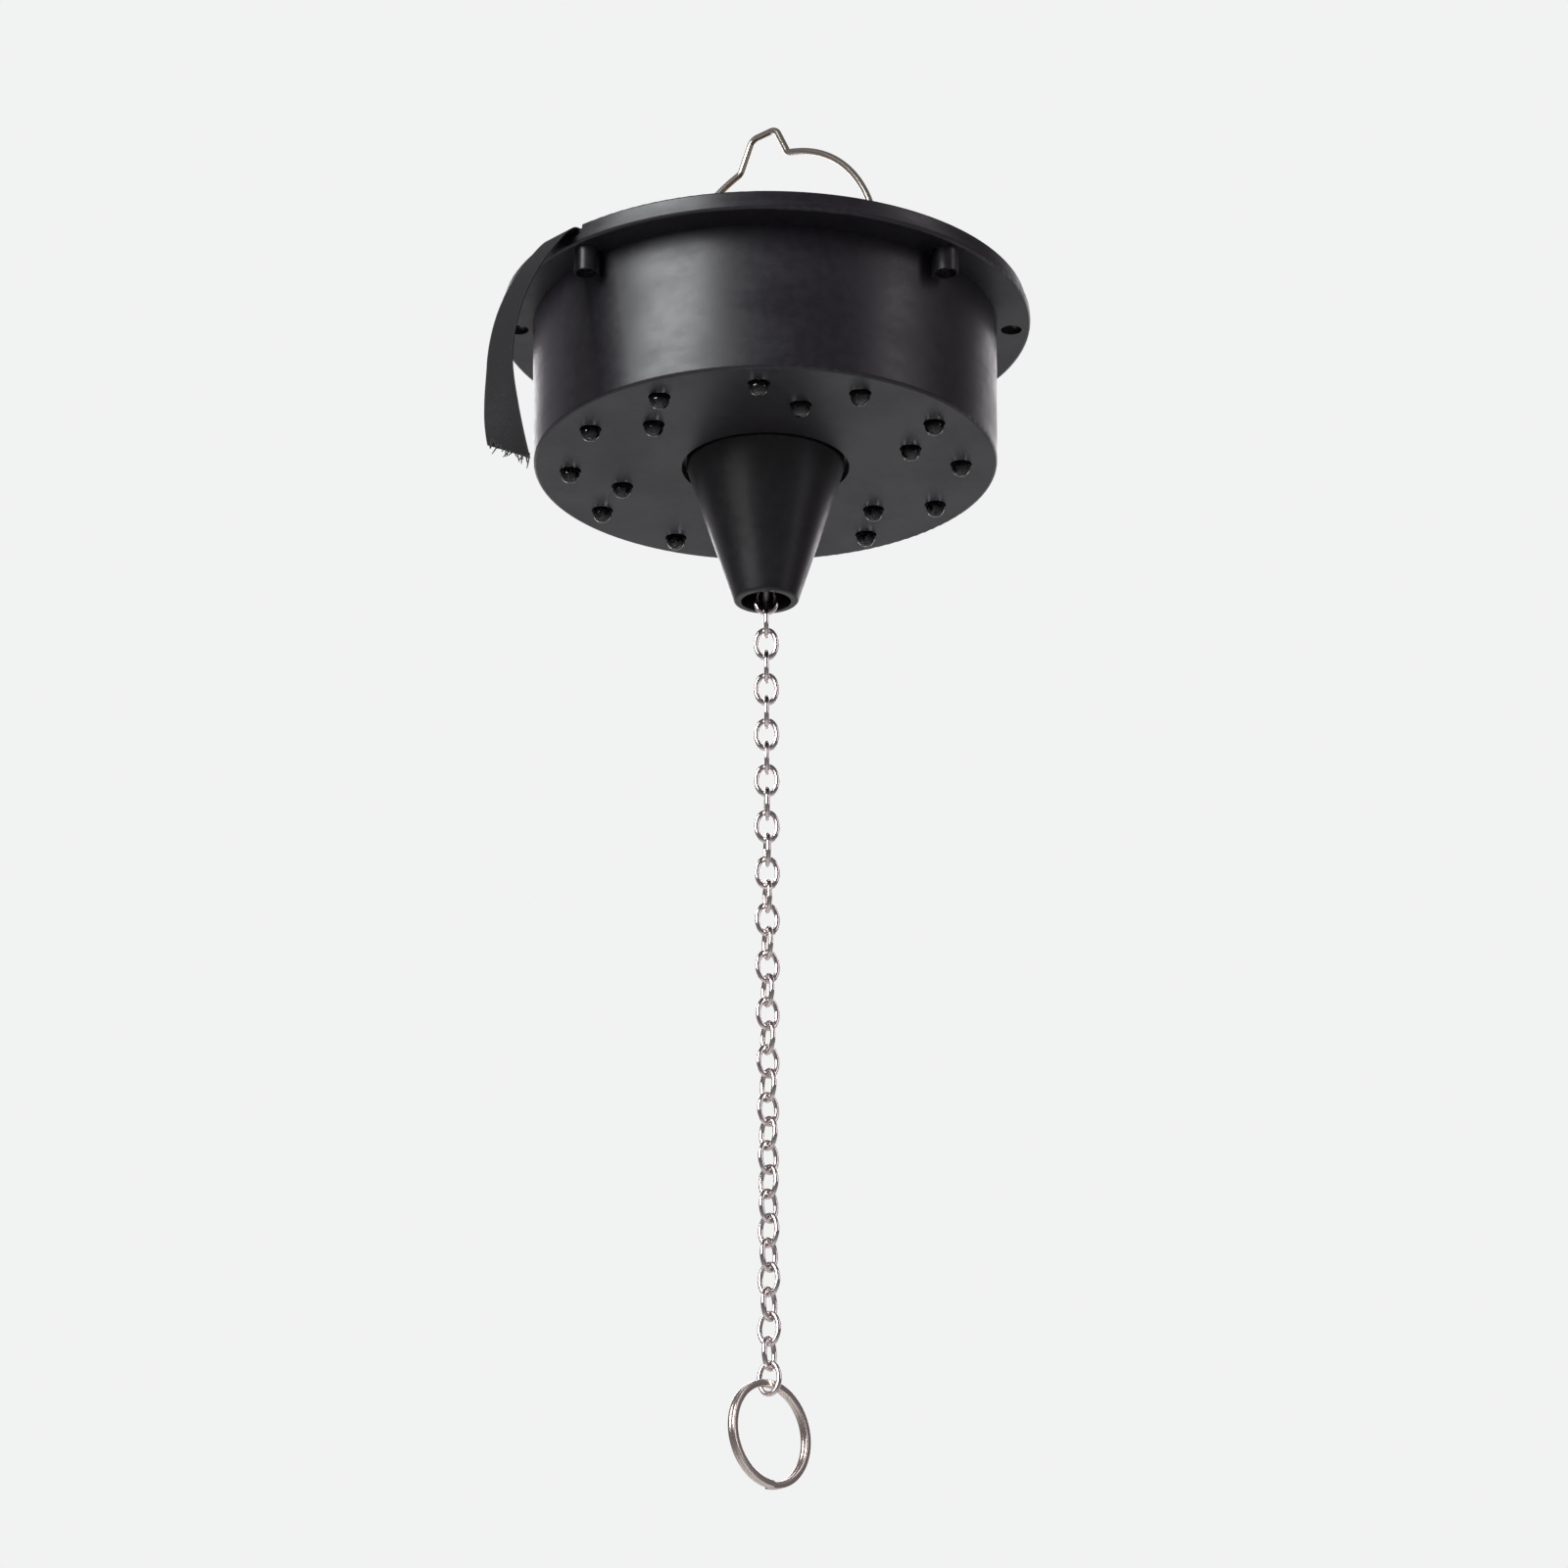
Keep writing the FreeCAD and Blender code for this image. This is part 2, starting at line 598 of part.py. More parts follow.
def gear_centres():
    """Shafts of the motor and the three gears, as (along, across) in the bay's own axes."""
    motor = (size("motor_place"), 0.0)
    reach = spacing(MOTOR_PINION, FIRST_WHEEL)
    first = (motor[0] - reach, 0.0)
    reach = spacing(FIRST_PINION, SECOND_WHEEL)
    second = (first[0] + reach * cos(SECOND_GEAR_SIDE), reach * sin(SECOND_GEAR_SIDE))
    from_second, from_axis = spacing(SECOND_PINION, THIRD_WHEEL), spacing(THIRD_PINION, OUTPUT_WHEEL)
    distance = hypot(*second)
    turn = acos((from_axis ** 2 + distance ** 2 - from_second ** 2) / (2 * from_axis * distance))
    angle = atan2(second[1], second[0]) + turn
    third = (from_axis * cos(angle), from_axis * sin(angle))
    return {"motor": motor, "first": first, "second": second, "third": third, "output": (0.0, 0.0)}


def spacing(one, other):
    """Distance between the shafts of two meshed gears."""
    return (one[0] * one[1] + other[0] * other[1]) / 2


def in_can(point):
    """A point in the bay's axes, turned into the can's axes."""
    turn = radians(size("bay_turn"))
    return point[0] * cos(turn) - point[1] * sin(turn), point[0] * sin(turn) + point[1] * cos(turn)


def gear_face(module, teeth, first_tooth, tip=0.8, root=1.25, backlash=0.12):
    """A spur gear's outline with involute flanks; the first tooth points along first_tooth."""
    pitch = module * teeth / 2
    base = pitch * cos(PRESSURE_ANGLE)
    outer, inner = pitch + tip * module, pitch - root * module

    def half_angle(radius):
        """Half of a tooth's angle at a radius."""
        involute = tan(PRESSURE_ANGLE) - PRESSURE_ANGLE
        lean = acos(base / max(radius, base))
        return pi / (2 * teeth) - backlash / (2 * pitch) + involute - (tan(lean) - lean)

    def point(radius, angle):
        return Vector(radius * cos(angle), radius * sin(angle), 0)

    foot = max(base, inner)
    edges = []
    for tooth in range(teeth):
        middle = first_tooth + 2 * pi * tooth / teeth
        side = half_angle(foot)
        between = (foot + outer) / 2
        if inner < foot:
            edges.append(Part.LineSegment(point(inner, middle - side), point(foot, middle - side)))
        edges.append(Part.Arc(point(foot, middle - side), point(between, middle - half_angle(between)),
                              point(outer, middle - half_angle(outer))))
        edges.append(Part.Arc(point(outer, middle - half_angle(outer)), point(outer, middle),
                              point(outer, middle + half_angle(outer))))
        edges.append(Part.Arc(point(outer, middle + half_angle(outer)),
                              point(between, middle + half_angle(between)), point(foot, middle + side)))
        if inner < foot:
            edges.append(Part.LineSegment(point(foot, middle + side), point(inner, middle + side)))
        following = middle + 2 * pi / teeth
        edges.append(Part.Arc(point(inner, middle + side), point(inner, (middle + following) / 2),
                              point(inner, following - side)))
    return Part.Face(Part.Wire([edge.toShape() for edge in edges]))


def meshing_tooth(followed, followed_tooth, follower, direction):
    """Angle of the follower's first tooth that puts it in mesh; direction is from followed to follower."""
    phase = (direction - followed_tooth) * followed[1] / (2 * pi)
    return direction + pi - (0.5 - phase) * 2 * pi / follower[1]


def direction_to(start, end):
    return atan2(end[1] - start[1], end[0] - start[0])


def spur(gear, first_tooth, level):
    """One toothed wheel between two heights."""
    low, high = level
    return gear_face(*gear, first_tooth).extrude(UP * (high - low)).translated(UP * low)


def gears():
    """The output gear and the three compound gears, each in mesh with the one before it."""
    centre = gear_centres()
    tooth = {"output": 0.0}
    tooth["third"] = meshing_tooth(OUTPUT_WHEEL, 0.0, THIRD_PINION,
                                   direction_to(centre["output"], centre["third"]))
    tooth["second"] = meshing_tooth(THIRD_WHEEL, tooth["third"], SECOND_PINION,
                                    direction_to(centre["third"], centre["second"]))
    tooth["first"] = meshing_tooth(SECOND_WHEEL, tooth["second"], FIRST_PINION,
                                   direction_to(centre["second"], centre["first"]))
    tooth["motor"] = meshing_tooth(FIRST_WHEEL, tooth["first"], MOTOR_PINION,
                                   direction_to(centre["first"], centre["motor"]))
    bore = size("axle_radius + running_gap")
    third_pinion_level = (OUTPUT_LEVEL[0] + 0.1, OUTPUT_LEVEL[1] - 0.2)
    compounds = [
        ("first_gear", "first", (FIRST_WHEEL, FIRST_LEVEL), (FIRST_PINION, SECOND_LEVEL)),
        ("second_gear", "second", (SECOND_WHEEL, SECOND_LEVEL), (SECOND_PINION, THIRD_LEVEL)),
        ("third_gear", "third", (THIRD_WHEEL, THIRD_LEVEL), (THIRD_PINION, third_pinion_level)),
    ]
    for label, name, wheel, pinion in compounds:
        low = min(wheel[1][0], pinion[1][0])
        high = max(wheel[1][1], pinion[1][1])
        body = spur(wheel[0], tooth[name], wheel[1]).fuse(spur(pinion[0], tooth[name], pinion[1]))
        body = body.fuse(Part.makeCylinder(GEAR_HUB, high - low, Vector(0, 0, low), UP))
        body = body.cut(Part.makeCylinder(bore, high - low + 2, Vector(0, 0, low - 1), UP))
        place_gear(label, body, centre[name])
    output = spur(OUTPUT_WHEEL, 0.0, OUTPUT_LEVEL)
    output = output.cut(Part.makeCylinder(size("hub_radius"), 20, Vector(), UP))
    place_gear("output_gear", output, centre["output"])
    pinion = spur(MOTOR_PINION, tooth["motor"], FIRST_LEVEL)
    pinion = pinion.cut(Part.makeCylinder(size("axle_radius"), 30, Vector(), UP))
    place_gear("motor_pinion", pinion, centre["motor"])


def place_gear(label, shape, centre):
    x, y = in_can(centre)
    feature_of(label, shape, size("bay_turn"), Vector(x, y, 0))


def gear_pins():
    """Three steel pins that the compound gears turn on."""
    centre = gear_centres()
    top = size("lid_low + lid_thickness")
    lows = {"first": size("base_low"), "second": size("base_low"), "third": size("floor_top")}
    pins = []
    for name, low in lows.items():
        x, y = in_can(centre[name])
        pins.append(Part.makeCylinder(size("axle_radius"), top - low, Vector(x, y, low), UP))
    feature_of("gear_pins", Part.makeCompound(pins))


LID_PILLARS = ((8, -8), (-12, 16), (26, 37), (24, -20))
LID_BOX = ("-18", "-26", "35.5", "43")


def gearbox_base():
    """Plate over the lights that carries the gear pins, the rotor's journal, the lid and the motor."""
    base = Piece("gearbox_base", "bay_turn")
    high = "base_low + base_thickness"
    centre = gear_centres()
    base.pad("base_low", high, [("0", "0", "base_radius")])
    pillar_rows = [(str(x), str(y)) for x, y in LID_PILLARS]
    base.pad("base_low + 1", "lid_low", [(x, y, "2.6") for x, y in pillar_rows])
    cradle = [box("44", "-11.6", "52.5", "-6.5"), box("44", "6.5", "52.5", "11.6")]
    base.pad("base_low + 1", "motor_low", cradle)
    grips = [box("44", "motor_radius + 0.1", "52.5", "motor_radius + 1.6"),
             box("44", "-(motor_radius + 1.6)", "52.5", "-(motor_radius + 0.1)")]
    base.pad("motor_low - 1", "motor_low + 12", grips)
    base.pocket("base_low", high, [("0", "0", "journal_radius + running_gap")])
    third = tuple(str(number) for number in centre["third"])
    base.pocket("base_low", high, [(*third, "4")])
    for name in ("first", "second"):
        x, y = (str(number) for number in centre[name])
        base.pocket("base_low", high, [(x, y, "axle_radius")])
    base.pocket("base_low", high, [("motor_place", "0", "axle_radius + 0.4")])
    base.pocket("lid_low - 6", "lid_low", [(x, y, "post_pilot") for x, y in pillar_rows])
    base.pocket("base_low", high, [(*polar("gear_post_ring", f"{angle} - bay_turn"), "post_pilot + 0.3")
                                   for angle in GEAR_POST_ANGLES])


def gearbox_lid():
    lid = Piece("gearbox_lid", "bay_turn")
    high = "lid_low + lid_thickness"
    lid.pad("lid_low", high, [box(*LID_BOX)])
    for name in ("first", "second", "third"):
        x, y = (str(number) for number in gear_centres()[name])
        lid.pocket("lid_low", high, [(x, y, "axle_radius")])
    lid.pocket("lid_low", high, [(str(x), str(y), "post_pilot + 0.3") for x, y in LID_PILLARS])


def gearbox_screws():
    """Screws that hold the lid to the base and the base to the housing."""
    lid_screw = screw(1.8, 1.1, size("post_pilot - 0.05"), 7)
    base_screw = screw(1.8, 1.1, size("post_pilot - 0.05"), 6)
    for one in (lid_screw, base_screw):
        one.rotate(Vector(), Vector(1, 0, 0), 180)
    lid_seat, base_seat = size("lid_low + lid_thickness"), size("base_low + base_thickness")
    lid_places = [Vector(*in_can(place), lid_seat) for place in LID_PILLARS]
    base_places = ring_places(size("gear_post_ring"), GEAR_POST_ANGLES, base_seat)
    shape = Part.makeCompound([copies(lid_screw, lid_places), copies(base_screw, base_places)])
    feature_of("gearbox_screws", shape)


def motor():
    """Small can motor with two flat sides, shaft down; its shaft is a piece of its own."""
    radius, flat = size("motor_radius"), size("motor_flat")
    low, high = size("motor_low"), size("motor_high")
    case = Part.makeCylinder(radius, high - low, Vector(0, 0, low), UP)
    case = case.common(Part.makeBox(2 * flat, 2 * radius, high - low, Vector(-flat, -radius, low)))
    case = case.fuse(Part.makeCylinder(3, 1.2, Vector(0, 0, low - 1.2), UP))
    for side in (-1, 1):
        case = case.fuse(Part.makeBox(0.5, 2, 1.2, Vector(-0.25, side * 6 - 1, high)))
    case = case.cut(Part.makeCylinder(size("axle_radius + running_gap"), 12, Vector(0, 0, low - 2), UP))
    x, y = in_can(gear_centres()["motor"])
    feature_of("drive_motor", case, size("bay_turn"), Vector(x, y, 0))
    shaft_low = FIRST_LEVEL[0] - 1
    shaft = Part.makeCylinder(size("axle_radius"), low + 9 - shaft_low, Vector(0, 0, shaft_low), UP)
    feature_of("motor_shaft", shaft, 0, Vector(x, y, 0))


# ---------------------------------------------------------------- rotor


def thrust_washer():
    washer = Piece("thrust_washer")
    rings = [("0", "0", "washer_outer"), ("0", "0", "washer_inner")]
    washer.pad("floor_top", "floor_top + washer_thickness", rings)


def rotor():
    """Hollow cone on a flange that rides on the washer, with the hub and journal above it."""
    cone = Piece("rotor_blank")
    seat = "floor_top + washer_thickness"
    flange_top = f"{seat} + flange_plate"
    slope = "(cone_radius - cone_tip_radius) / cone_drop"
    journal_top = "base_low + base_thickness + 1.6"
    clip_low = "base_low + base_thickness + 0.1"
    ceiling = f"{seat} - 1.2"
    cone.revolve([
        ("cone_bore", "-cone_drop"),
        ("cone_tip_radius", "-cone_drop"),
        ("cone_radius", "0"),
        ("cone_radius", seat),
        ("rotor_flange", seat),
        ("rotor_flange", flange_top),
        ("hub_radius", flange_top),
        ("hub_radius", f"{OUTPUT_LEVEL[1]} + 0.2"),
        ("journal_radius", f"{OUTPUT_LEVEL[1]} + 0.2"),
        ("journal_radius", clip_low),
        ("journal_radius - 0.5", clip_low),
        ("journal_radius - 0.5", f"{clip_low} + 0.9"),
        ("journal_radius", f"{clip_low} + 0.9"),
        ("journal_radius", journal_top),
        ("0", journal_top),
        ("0", ceiling),
        (f"cone_radius - cone_wall - {slope} * 1.2", ceiling),
        ("cone_bore", f"-cone_drop + (cone_bore + cone_wall - cone_tip_radius + 1.4) / ({slope})"),
    ])
    cone.fillet("tip_round", rim("cone_tip_radius", "-cone_drop"))
    pin_end = Vector(0, -pin_half(), -size("pin_drop"))
    pin_hole = Part.makeCylinder(size("pin_radius"), 2 * pin_half(), pin_end, Vector(0, 1, 0))
    cut_from("rotor_cone", cone, pin_hole)
    feature_of("cross_pin", pin_hole)


def pin_half():
    """Half the cross pin, which ends inside the cone's wall."""
    return size("cone_bore + 1.2")


def retaining_clip():
    """Open ring in the journal's groove, which keeps the rotor from lifting."""
    low = size("base_low + base_thickness + 0.15")
    inner, outer, thick = size("journal_radius - 0.45"), size("journal_radius + 2.5"), 0.8
    clip = Part.makeCylinder(outer, thick, Vector(0, 0, low), UP)
    clip = clip.cut(Part.makeCylinder(inner, thick, Vector(0, 0, low), UP))
    mouth = Part.makeBox(outer + 1, 4.6, thick, Vector(0, -2.3, low))
    feature_of("retaining_clip", clip.cut(mouth))


# ---------------------------------------------------------------- chain


PIN_SLACK = 0.09
RING_SLACK = 0.3
COIL_GAP = 0.05
# The ring passes through the last link a little askew, so its two turns take up more of the bend.
SKEW_ALLOWANCE = 1.12


def chain_link():
    """One oval link of four arcs about its own middle, upright in the XZ plane."""
    wire, tight = size("link_wire"), size("link_end_bend")
    side, end = size("link_width") / 2 - wire, size("link_length") / 2 - wire
    rise = end - tight
    wide = (side ** 2 + rise ** 2 - tight ** 2) / (2 * (side - tight))
    meet = atan2(rise, wide - side)

    def on_side(way, angle):
        return Vector(way * (side - wide + wide * cos(angle)), 0, wide * sin(angle))

    low_left = on_side(-1, -meet)
    path = Part.Wire([
        Part.Arc(low_left, on_side(-1, 0), on_side(-1, meet)).toShape(),
        Part.Arc(on_side(-1, meet), Vector(0, 0, end), on_side(1, meet)).toShape(),
        Part.Arc(on_side(1, meet), on_side(1, 0), on_side(1, -meet)).toShape(),
        Part.Arc(on_side(1, -meet), Vector(0, 0, -end), low_left).toShape(),
    ])
    profile = Part.Wire([Part.Circle(low_left, Vector(-sin(meet), 0, cos(meet)), wire).toShape()])
    return path.makePipeShell([profile], True, True)


def link_height(index):
    """Middle of a link; the first one hangs on the cross pin."""
    first = size("pin_radius - pin_drop + 2 * link_wire - link_length / 2") + PIN_SLACK
    return first - index * size("link_pitch")


def link_turn(index):
    """Every other link is turned a quarter, and the lower chain has a slow twist."""
    return 90 * (index % 2) + TWIST_PER_LINK * max(0, index - STRAIGHT_LINKS)


def chain():
    """The first link on the pin, then sections of three links each."""
    link = chain_link()
    groups = [range(0, 1)] + [range(1 + LINKS_PER_SECTION * section, 1 + LINKS_PER_SECTION * (section + 1))
                              for section in range(SECTIONS)]
    for number, indexes in enumerate(groups, 1):
        links = []
        for index in indexes:
            one = link.copy()
            one.rotate(Vector(), UP, link_turn(index))
            links.append(one.translated(Vector(0, 0, link_height(index))))
        feature_of(f"chain_{number:02d}", Part.makeCompound(links))


def split_ring():
    """Two flat turns of spring wire, hanging in the last link."""
    outer, band, coil = size("ring_radius"), size("ring_band"), size("ring_coil")
    pitch = coil + COIL_GAP
    middle = outer - band / 2
    helix = Part.makeHelix(pitch, 2 * pitch, middle)
    inside, outside = middle - band / 2, middle + band / 2
    corners = [Vector(x, 0, z) for x, z in ((inside, -coil / 2), (outside, -coil / 2), (outside, coil / 2),
                                            (inside, coil / 2), (inside, -coil / 2))]
    ring = Part.Wire(helix.Edges).makePipeShell([Part.makePolygon(corners)], True, True)
    ring.translate(Vector(0, 0, -pitch))
    ring.rotate(Vector(), UP, -90)
    ring.rotate(Vector(), Vector(1, 0, 0), 90)
    last = LINKS_PER_SECTION * SECTIONS
    inner_bend = size("link_end_bend - link_wire")
    half_stack = (pitch + coil) / 2 * SKEW_ALLOWANCE
    rise = inner_bend - sqrt(inner_bend ** 2 - half_stack ** 2)
    link_bottom = link_height(last) - size("link_length / 2 - 2 * link_wire")
    centre = link_bottom + rise + RING_SLACK - (outer - band)
    feature_of("split_ring", ring, size("ring_turn"), Vector(0, 0, centre))


# ---------------------------------------------------------------- batteries and switch


def cells():
    """Four cells side by side, turned end for end in a row."""
    radius, length = size("cell_radius"), size("cell_length")
    case = Part.makeCylinder(radius, length - 1, Vector(0, 0, -length / 2), UP)
    ends = [edge for edge in case.Edges if isinstance(edge.Curve, Part.Circle)]
    case = case.makeFillet(0.6, ends)
    cell = case.fuse(Part.makeCylinder(2.75, 1, Vector(0, 0, length / 2 - 1), UP))
    for number in range(4):
        one = cell.copy()
        way = 1 if number % 2 else -1
        one.rotate(Vector(), Vector(1, 0, 0), -90 * way)
        one.translate(Vector((number - 1.5) * size("cell_pitch"), way * SPRING_ROOM / 2, size("cell_level")))
        feature_of(f"battery_{number + 1}", one, size("bay_turn"))


SPRING_ROOM = 6.0
LEAF_THICKNESS = 0.3
LEAF_WIDTH = 6.0
LEAF_GAP = 0.05


def contacts():
    """Leaf springs at the flat ends and plates at the nubs, linked in a row from cell to cell."""
    thick, pitch = size("contact_thickness"), size("cell_pitch")
    end, level = size("bay_length") / 2, size("cell_level")
    plates = []
    for side, spans in ((1, ((-1.5, -0.5), (0.5, 1.5))), (-1, ((-1.5, -1.5), (-0.5, 0.5), (1.5, 1.5)))):
        for first, last in spans:
            low_x, high_x = first * pitch - 5, last * pitch + 5
            low_y = side * end if side < 0 else end - thick
            plates.append(Part.makeBox(high_x - low_x, thick, 11, Vector(low_x, low_y, level - 5.5)))
    feature_of("contact_plates", Part.makeCompound(plates), size("bay_turn"))
    springs = []
    leaf = leaf_spring().translated(Vector(-LEAF_WIDTH / 2, thick - end, level))
    for number in range(4):
        one = leaf.copy()
        if number % 2 == 0:
            one.rotate(Vector(), UP, 180)
        springs.append(one.translated(Vector((number - 1.5) * pitch, 0, 0)))
    feature_of("contact_springs", Part.makeCompound(springs), size("bay_turn"))


def leaf_spring():
    """A strip that lies along its plate at the foot and bows out as far as the cell, in the YZ plane."""
    cell_face = size("bay_length / 2 - contact_thickness - cell_length / 2") + SPRING_ROOM / 2
    near = LEAF_GAP + LEAF_THICKNESS / 2
    route = [(near, -5.0), (near, -3.9), (cell_face + 0.45, 0), (near + 0.7, 4.2)]
    path = Part.Wire(rounded_path([Vector(0, out, up) for out, up in route], [1.0, 1.0]))
    outline = path.makeOffset2D(LEAF_THICKNESS / 2, 0, True, True)
    return outline.extrude(Vector(LEAF_WIDTH, 0, 0))


RIBBON_DRAPE = ((77.5, 36.5), (85.0, 24.0), (90.5, 6.0), (90.3, -10.0), (87.0, -22.0))


def ribbon():
    """Ribbon under the cells, up the bay's wall, over the cover and down past its rim."""
    thick = size("ribbon_thickness")
    low = size("bay_floor") + thick / 2 + 0.05
    top = size("can_depth - channel_depth") + thick / 2 + 0.05
    wall = size("bay_width") / 2 - thick / 2 - 0.08
    rim_edge = size("rim_radius") + 2
    route = [(-22, low), (wall, low), (wall, top), (rim_edge, top), *RIBBON_DRAPE]
    points = [Vector(along, 0, height) for along, height in route]
    radii = [0.4, 0.4, 4, 30, 25, 22, 40]
    path = Part.Wire(rounded_path(points, radii))
    outline = path.makeOffset2D(thick / 2, 0, True, True)
    width = size("ribbon_width")
    strip = outline.extrude(Vector(0, width, 0)).translated(Vector(0, -width / 2, 0))
    feature_of("battery_ribbon", strip, size("ribbon_turn"))


def slide_switch():
    switch = Piece("switch_body")
    low, high = "switch_level - 3", "switch_level + 3"
    switch.pad(low, high, [box("-9.5", "50.2", "9.5", "56.2")])
    half = "(switch_travel + 4.6) / 2"
    switch.side_pocket("53", "56.2", [box(f"-({half})", "switch_level - 1.6", half, "switch_level + 1.6")])
    knob = Piece("switch_slider")
    near = "-(switch_travel + 4) / 2"
    knob.pad("switch_level - 1.4", "switch_level + 1.4", [box(near, "53.1", f"{near} + 4", "62.6")])


# ---------------------------------------------------------------- build


def check():
    """Stop on any failed object or bad shape."""
    failed = [item.Name for item in DOC.Objects if {"Invalid", "Error"} & set(item.State)]
    failed += [node.Label for node in NODES if node.Shape.isNull() or not node.Shape.isValid()]
    if failed:
        raise ValueError(f"failed: {failed}")


def main():
    for build in (housing, cover, cover_screws, bail, led_board, board_screws, thrust_washer, rotor,
                  retaining_clip, gears, gear_pins, gearbox_base, gearbox_lid, gearbox_screws, motor, chain,
                  split_ring, cells, contacts, ribbon, slide_switch):
        build()
    light_group("leds_outer", *lights()[0])
    light_group("leds_inner", *lights()[1])
    DOC.recompute()
    check()
    os.makedirs("parts", exist_ok=True)
    for node in NODES:
        node.Shape.exportStep(f"parts/{node.Label}.step")
        print(f"{node.Label}: {len(node.Shape.Solids)} solids, {node.Shape.Volume:.1f} mm3")


main()
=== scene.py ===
"""Battery mirror-ball motor: its looks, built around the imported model.

Everything stands in the model's own frame, in metres, +Z up, with the origin in the middle of the
can's top face, on the ceiling plane. The sizes in the classes are millimetres; MM turns them into
metres. Heights called "above the floor" count up from the can's bottom face, as they do on a drawing.
"""

import json
import logging
import math
import random
from collections.abc import Callable, Iterable, Iterator, Sequence
from contextlib import contextmanager
from dataclasses import dataclass, field
from enum import Enum

import bmesh
import bpy
from mathutils import Matrix, Vector

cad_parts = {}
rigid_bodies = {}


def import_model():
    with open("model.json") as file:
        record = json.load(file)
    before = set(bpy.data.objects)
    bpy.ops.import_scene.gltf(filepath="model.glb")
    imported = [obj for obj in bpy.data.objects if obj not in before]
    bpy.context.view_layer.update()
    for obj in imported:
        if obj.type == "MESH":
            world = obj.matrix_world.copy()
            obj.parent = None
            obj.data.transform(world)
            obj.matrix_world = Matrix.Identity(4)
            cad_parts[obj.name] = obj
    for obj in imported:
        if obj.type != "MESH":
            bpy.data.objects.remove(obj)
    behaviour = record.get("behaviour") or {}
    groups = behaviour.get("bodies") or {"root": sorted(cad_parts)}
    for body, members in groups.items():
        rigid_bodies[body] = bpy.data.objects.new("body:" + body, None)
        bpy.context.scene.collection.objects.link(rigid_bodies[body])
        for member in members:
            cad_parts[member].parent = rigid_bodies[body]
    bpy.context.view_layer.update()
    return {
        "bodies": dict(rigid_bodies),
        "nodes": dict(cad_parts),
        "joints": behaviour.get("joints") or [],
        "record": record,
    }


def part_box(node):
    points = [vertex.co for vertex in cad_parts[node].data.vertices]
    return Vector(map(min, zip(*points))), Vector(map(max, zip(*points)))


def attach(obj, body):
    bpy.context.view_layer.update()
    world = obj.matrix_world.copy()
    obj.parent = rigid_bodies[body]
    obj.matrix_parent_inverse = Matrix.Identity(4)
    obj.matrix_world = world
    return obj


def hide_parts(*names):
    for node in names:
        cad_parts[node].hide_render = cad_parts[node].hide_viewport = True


MM = 0.001
NUMBER_SOCKET = "NodeSocketFloat"
# Places of a colour Mix node's sockets, whose names repeat.
MIX_SHARE, MIX_FIRST, MIX_SECOND, MIX_RESULT = 0, 6, 7, 2
LOG = logging.getLogger("mirror_ball_motor")

Colour = tuple[float, float, float]


class Rings(Enum):
    """The two rings of lights, named as the model names them."""

    OUTER = "leds_outer"
    INNER = "leds_inner"


# ------------------------------------------------------------------ shader trees


@dataclass
class Tree:
    """One node tree, with short ways to add and link nodes."""

    nodes: bpy.types.NodeTree

    def add(self, kind: str, inputs: dict[str | int, object] | None = None,
            **settings: object) -> bpy.types.Node:
        """Adds a node.

        Args:
            kind: The node's type, without its "ShaderNode" prefix.
            inputs: Values or sockets for the node's inputs, by name or place.
            settings: Properties of the node itself.

        Returns:
            The new node.
        """
        node = self.nodes.nodes.new(f"ShaderNode{kind}")
        for name, setting in settings.items():
            setattr(node, name, setting)
        for name, source in (inputs or {}).items():
            if isinstance(source, bpy.types.NodeSocket):
                self.nodes.links.new(source, node.inputs[name])
            else:
                node.inputs[name].default_value = source
        return node

    def maths(self, operation: str, *terms: object, clamp: bool = False) -> bpy.types.NodeSocket:
        """Adds a maths node.

        Args:
            operation: Its operation, such as MULTIPLY.
            terms: Its numbers or sockets.
            clamp: Whether to keep the result from 0 to 1.

        Returns:
            The result's socket.
        """
        return self.add("Math", dict(enumerate(terms)), operation=operation, use_clamp=clamp).outputs[0]

    def ramp(self, source: bpy.types.NodeSocket, low: float, high: float) -> bpy.types.NodeSocket:
        """Stretches the part of a value from low to high over 0 to 1, with soft ends.

        Args:
            source: The value.
            low: What becomes 0.
            high: What becomes 1.

        Returns:
            The new value's socket.
        """
        inputs = {"Value": source, "From Min": low, "From Max": high}
        return self.add("MapRange", inputs, interpolation_type="SMOOTHSTEP").outputs["Result"]

    def blend(self, share: object, first: object, second: object) -> bpy.types.NodeSocket:
        """Mixes two colours.

        Args:
            share: How much of the second, from 0 to 1.
            first: A colour or its socket.
            second: A colour or its socket.

        Returns:
            The mixed colour's socket.
        """
        inputs = {MIX_SHARE: share}
        for place, source in ((MIX_FIRST, first), (MIX_SECOND, second)):
            linked = isinstance(source, bpy.types.NodeSocket)
            inputs[place] = source if linked else (*source, 1)
        return self.add("Mix", inputs, data_type="RGBA").outputs[MIX_RESULT]

    def noise(self, place: object, scale: object, detail: float, roughness: float) -> bpy.types.NodeSocket:
        """Adds a noise texture.

        Args:
            place: The coordinates' socket.
            scale: Features per metre.
            detail: How many finer layers it has.
            roughness: How strong the finer layers are.

        Returns:
            The noise value's socket.
        """
        inputs = {"Vector": place, "Scale": scale, "Detail": detail, "Roughness": roughness}
        return self.add("TexNoise", inputs).outputs["Fac"]

    def object_place(self, stretch: Sequence[float] = (1, 1, 1)) -> bpy.types.NodeSocket:
        """The point's place on the object.

        Args:
            stretch: Factors that squeeze the pattern along X, Y and Z.

        Returns:
            The coordinates' socket.
        """
        place = self.add("TexCoord").outputs["Object"]
        return self.add("Mapping", {"Vector": place, "Scale": tuple(stretch)}).outputs["Vector"]


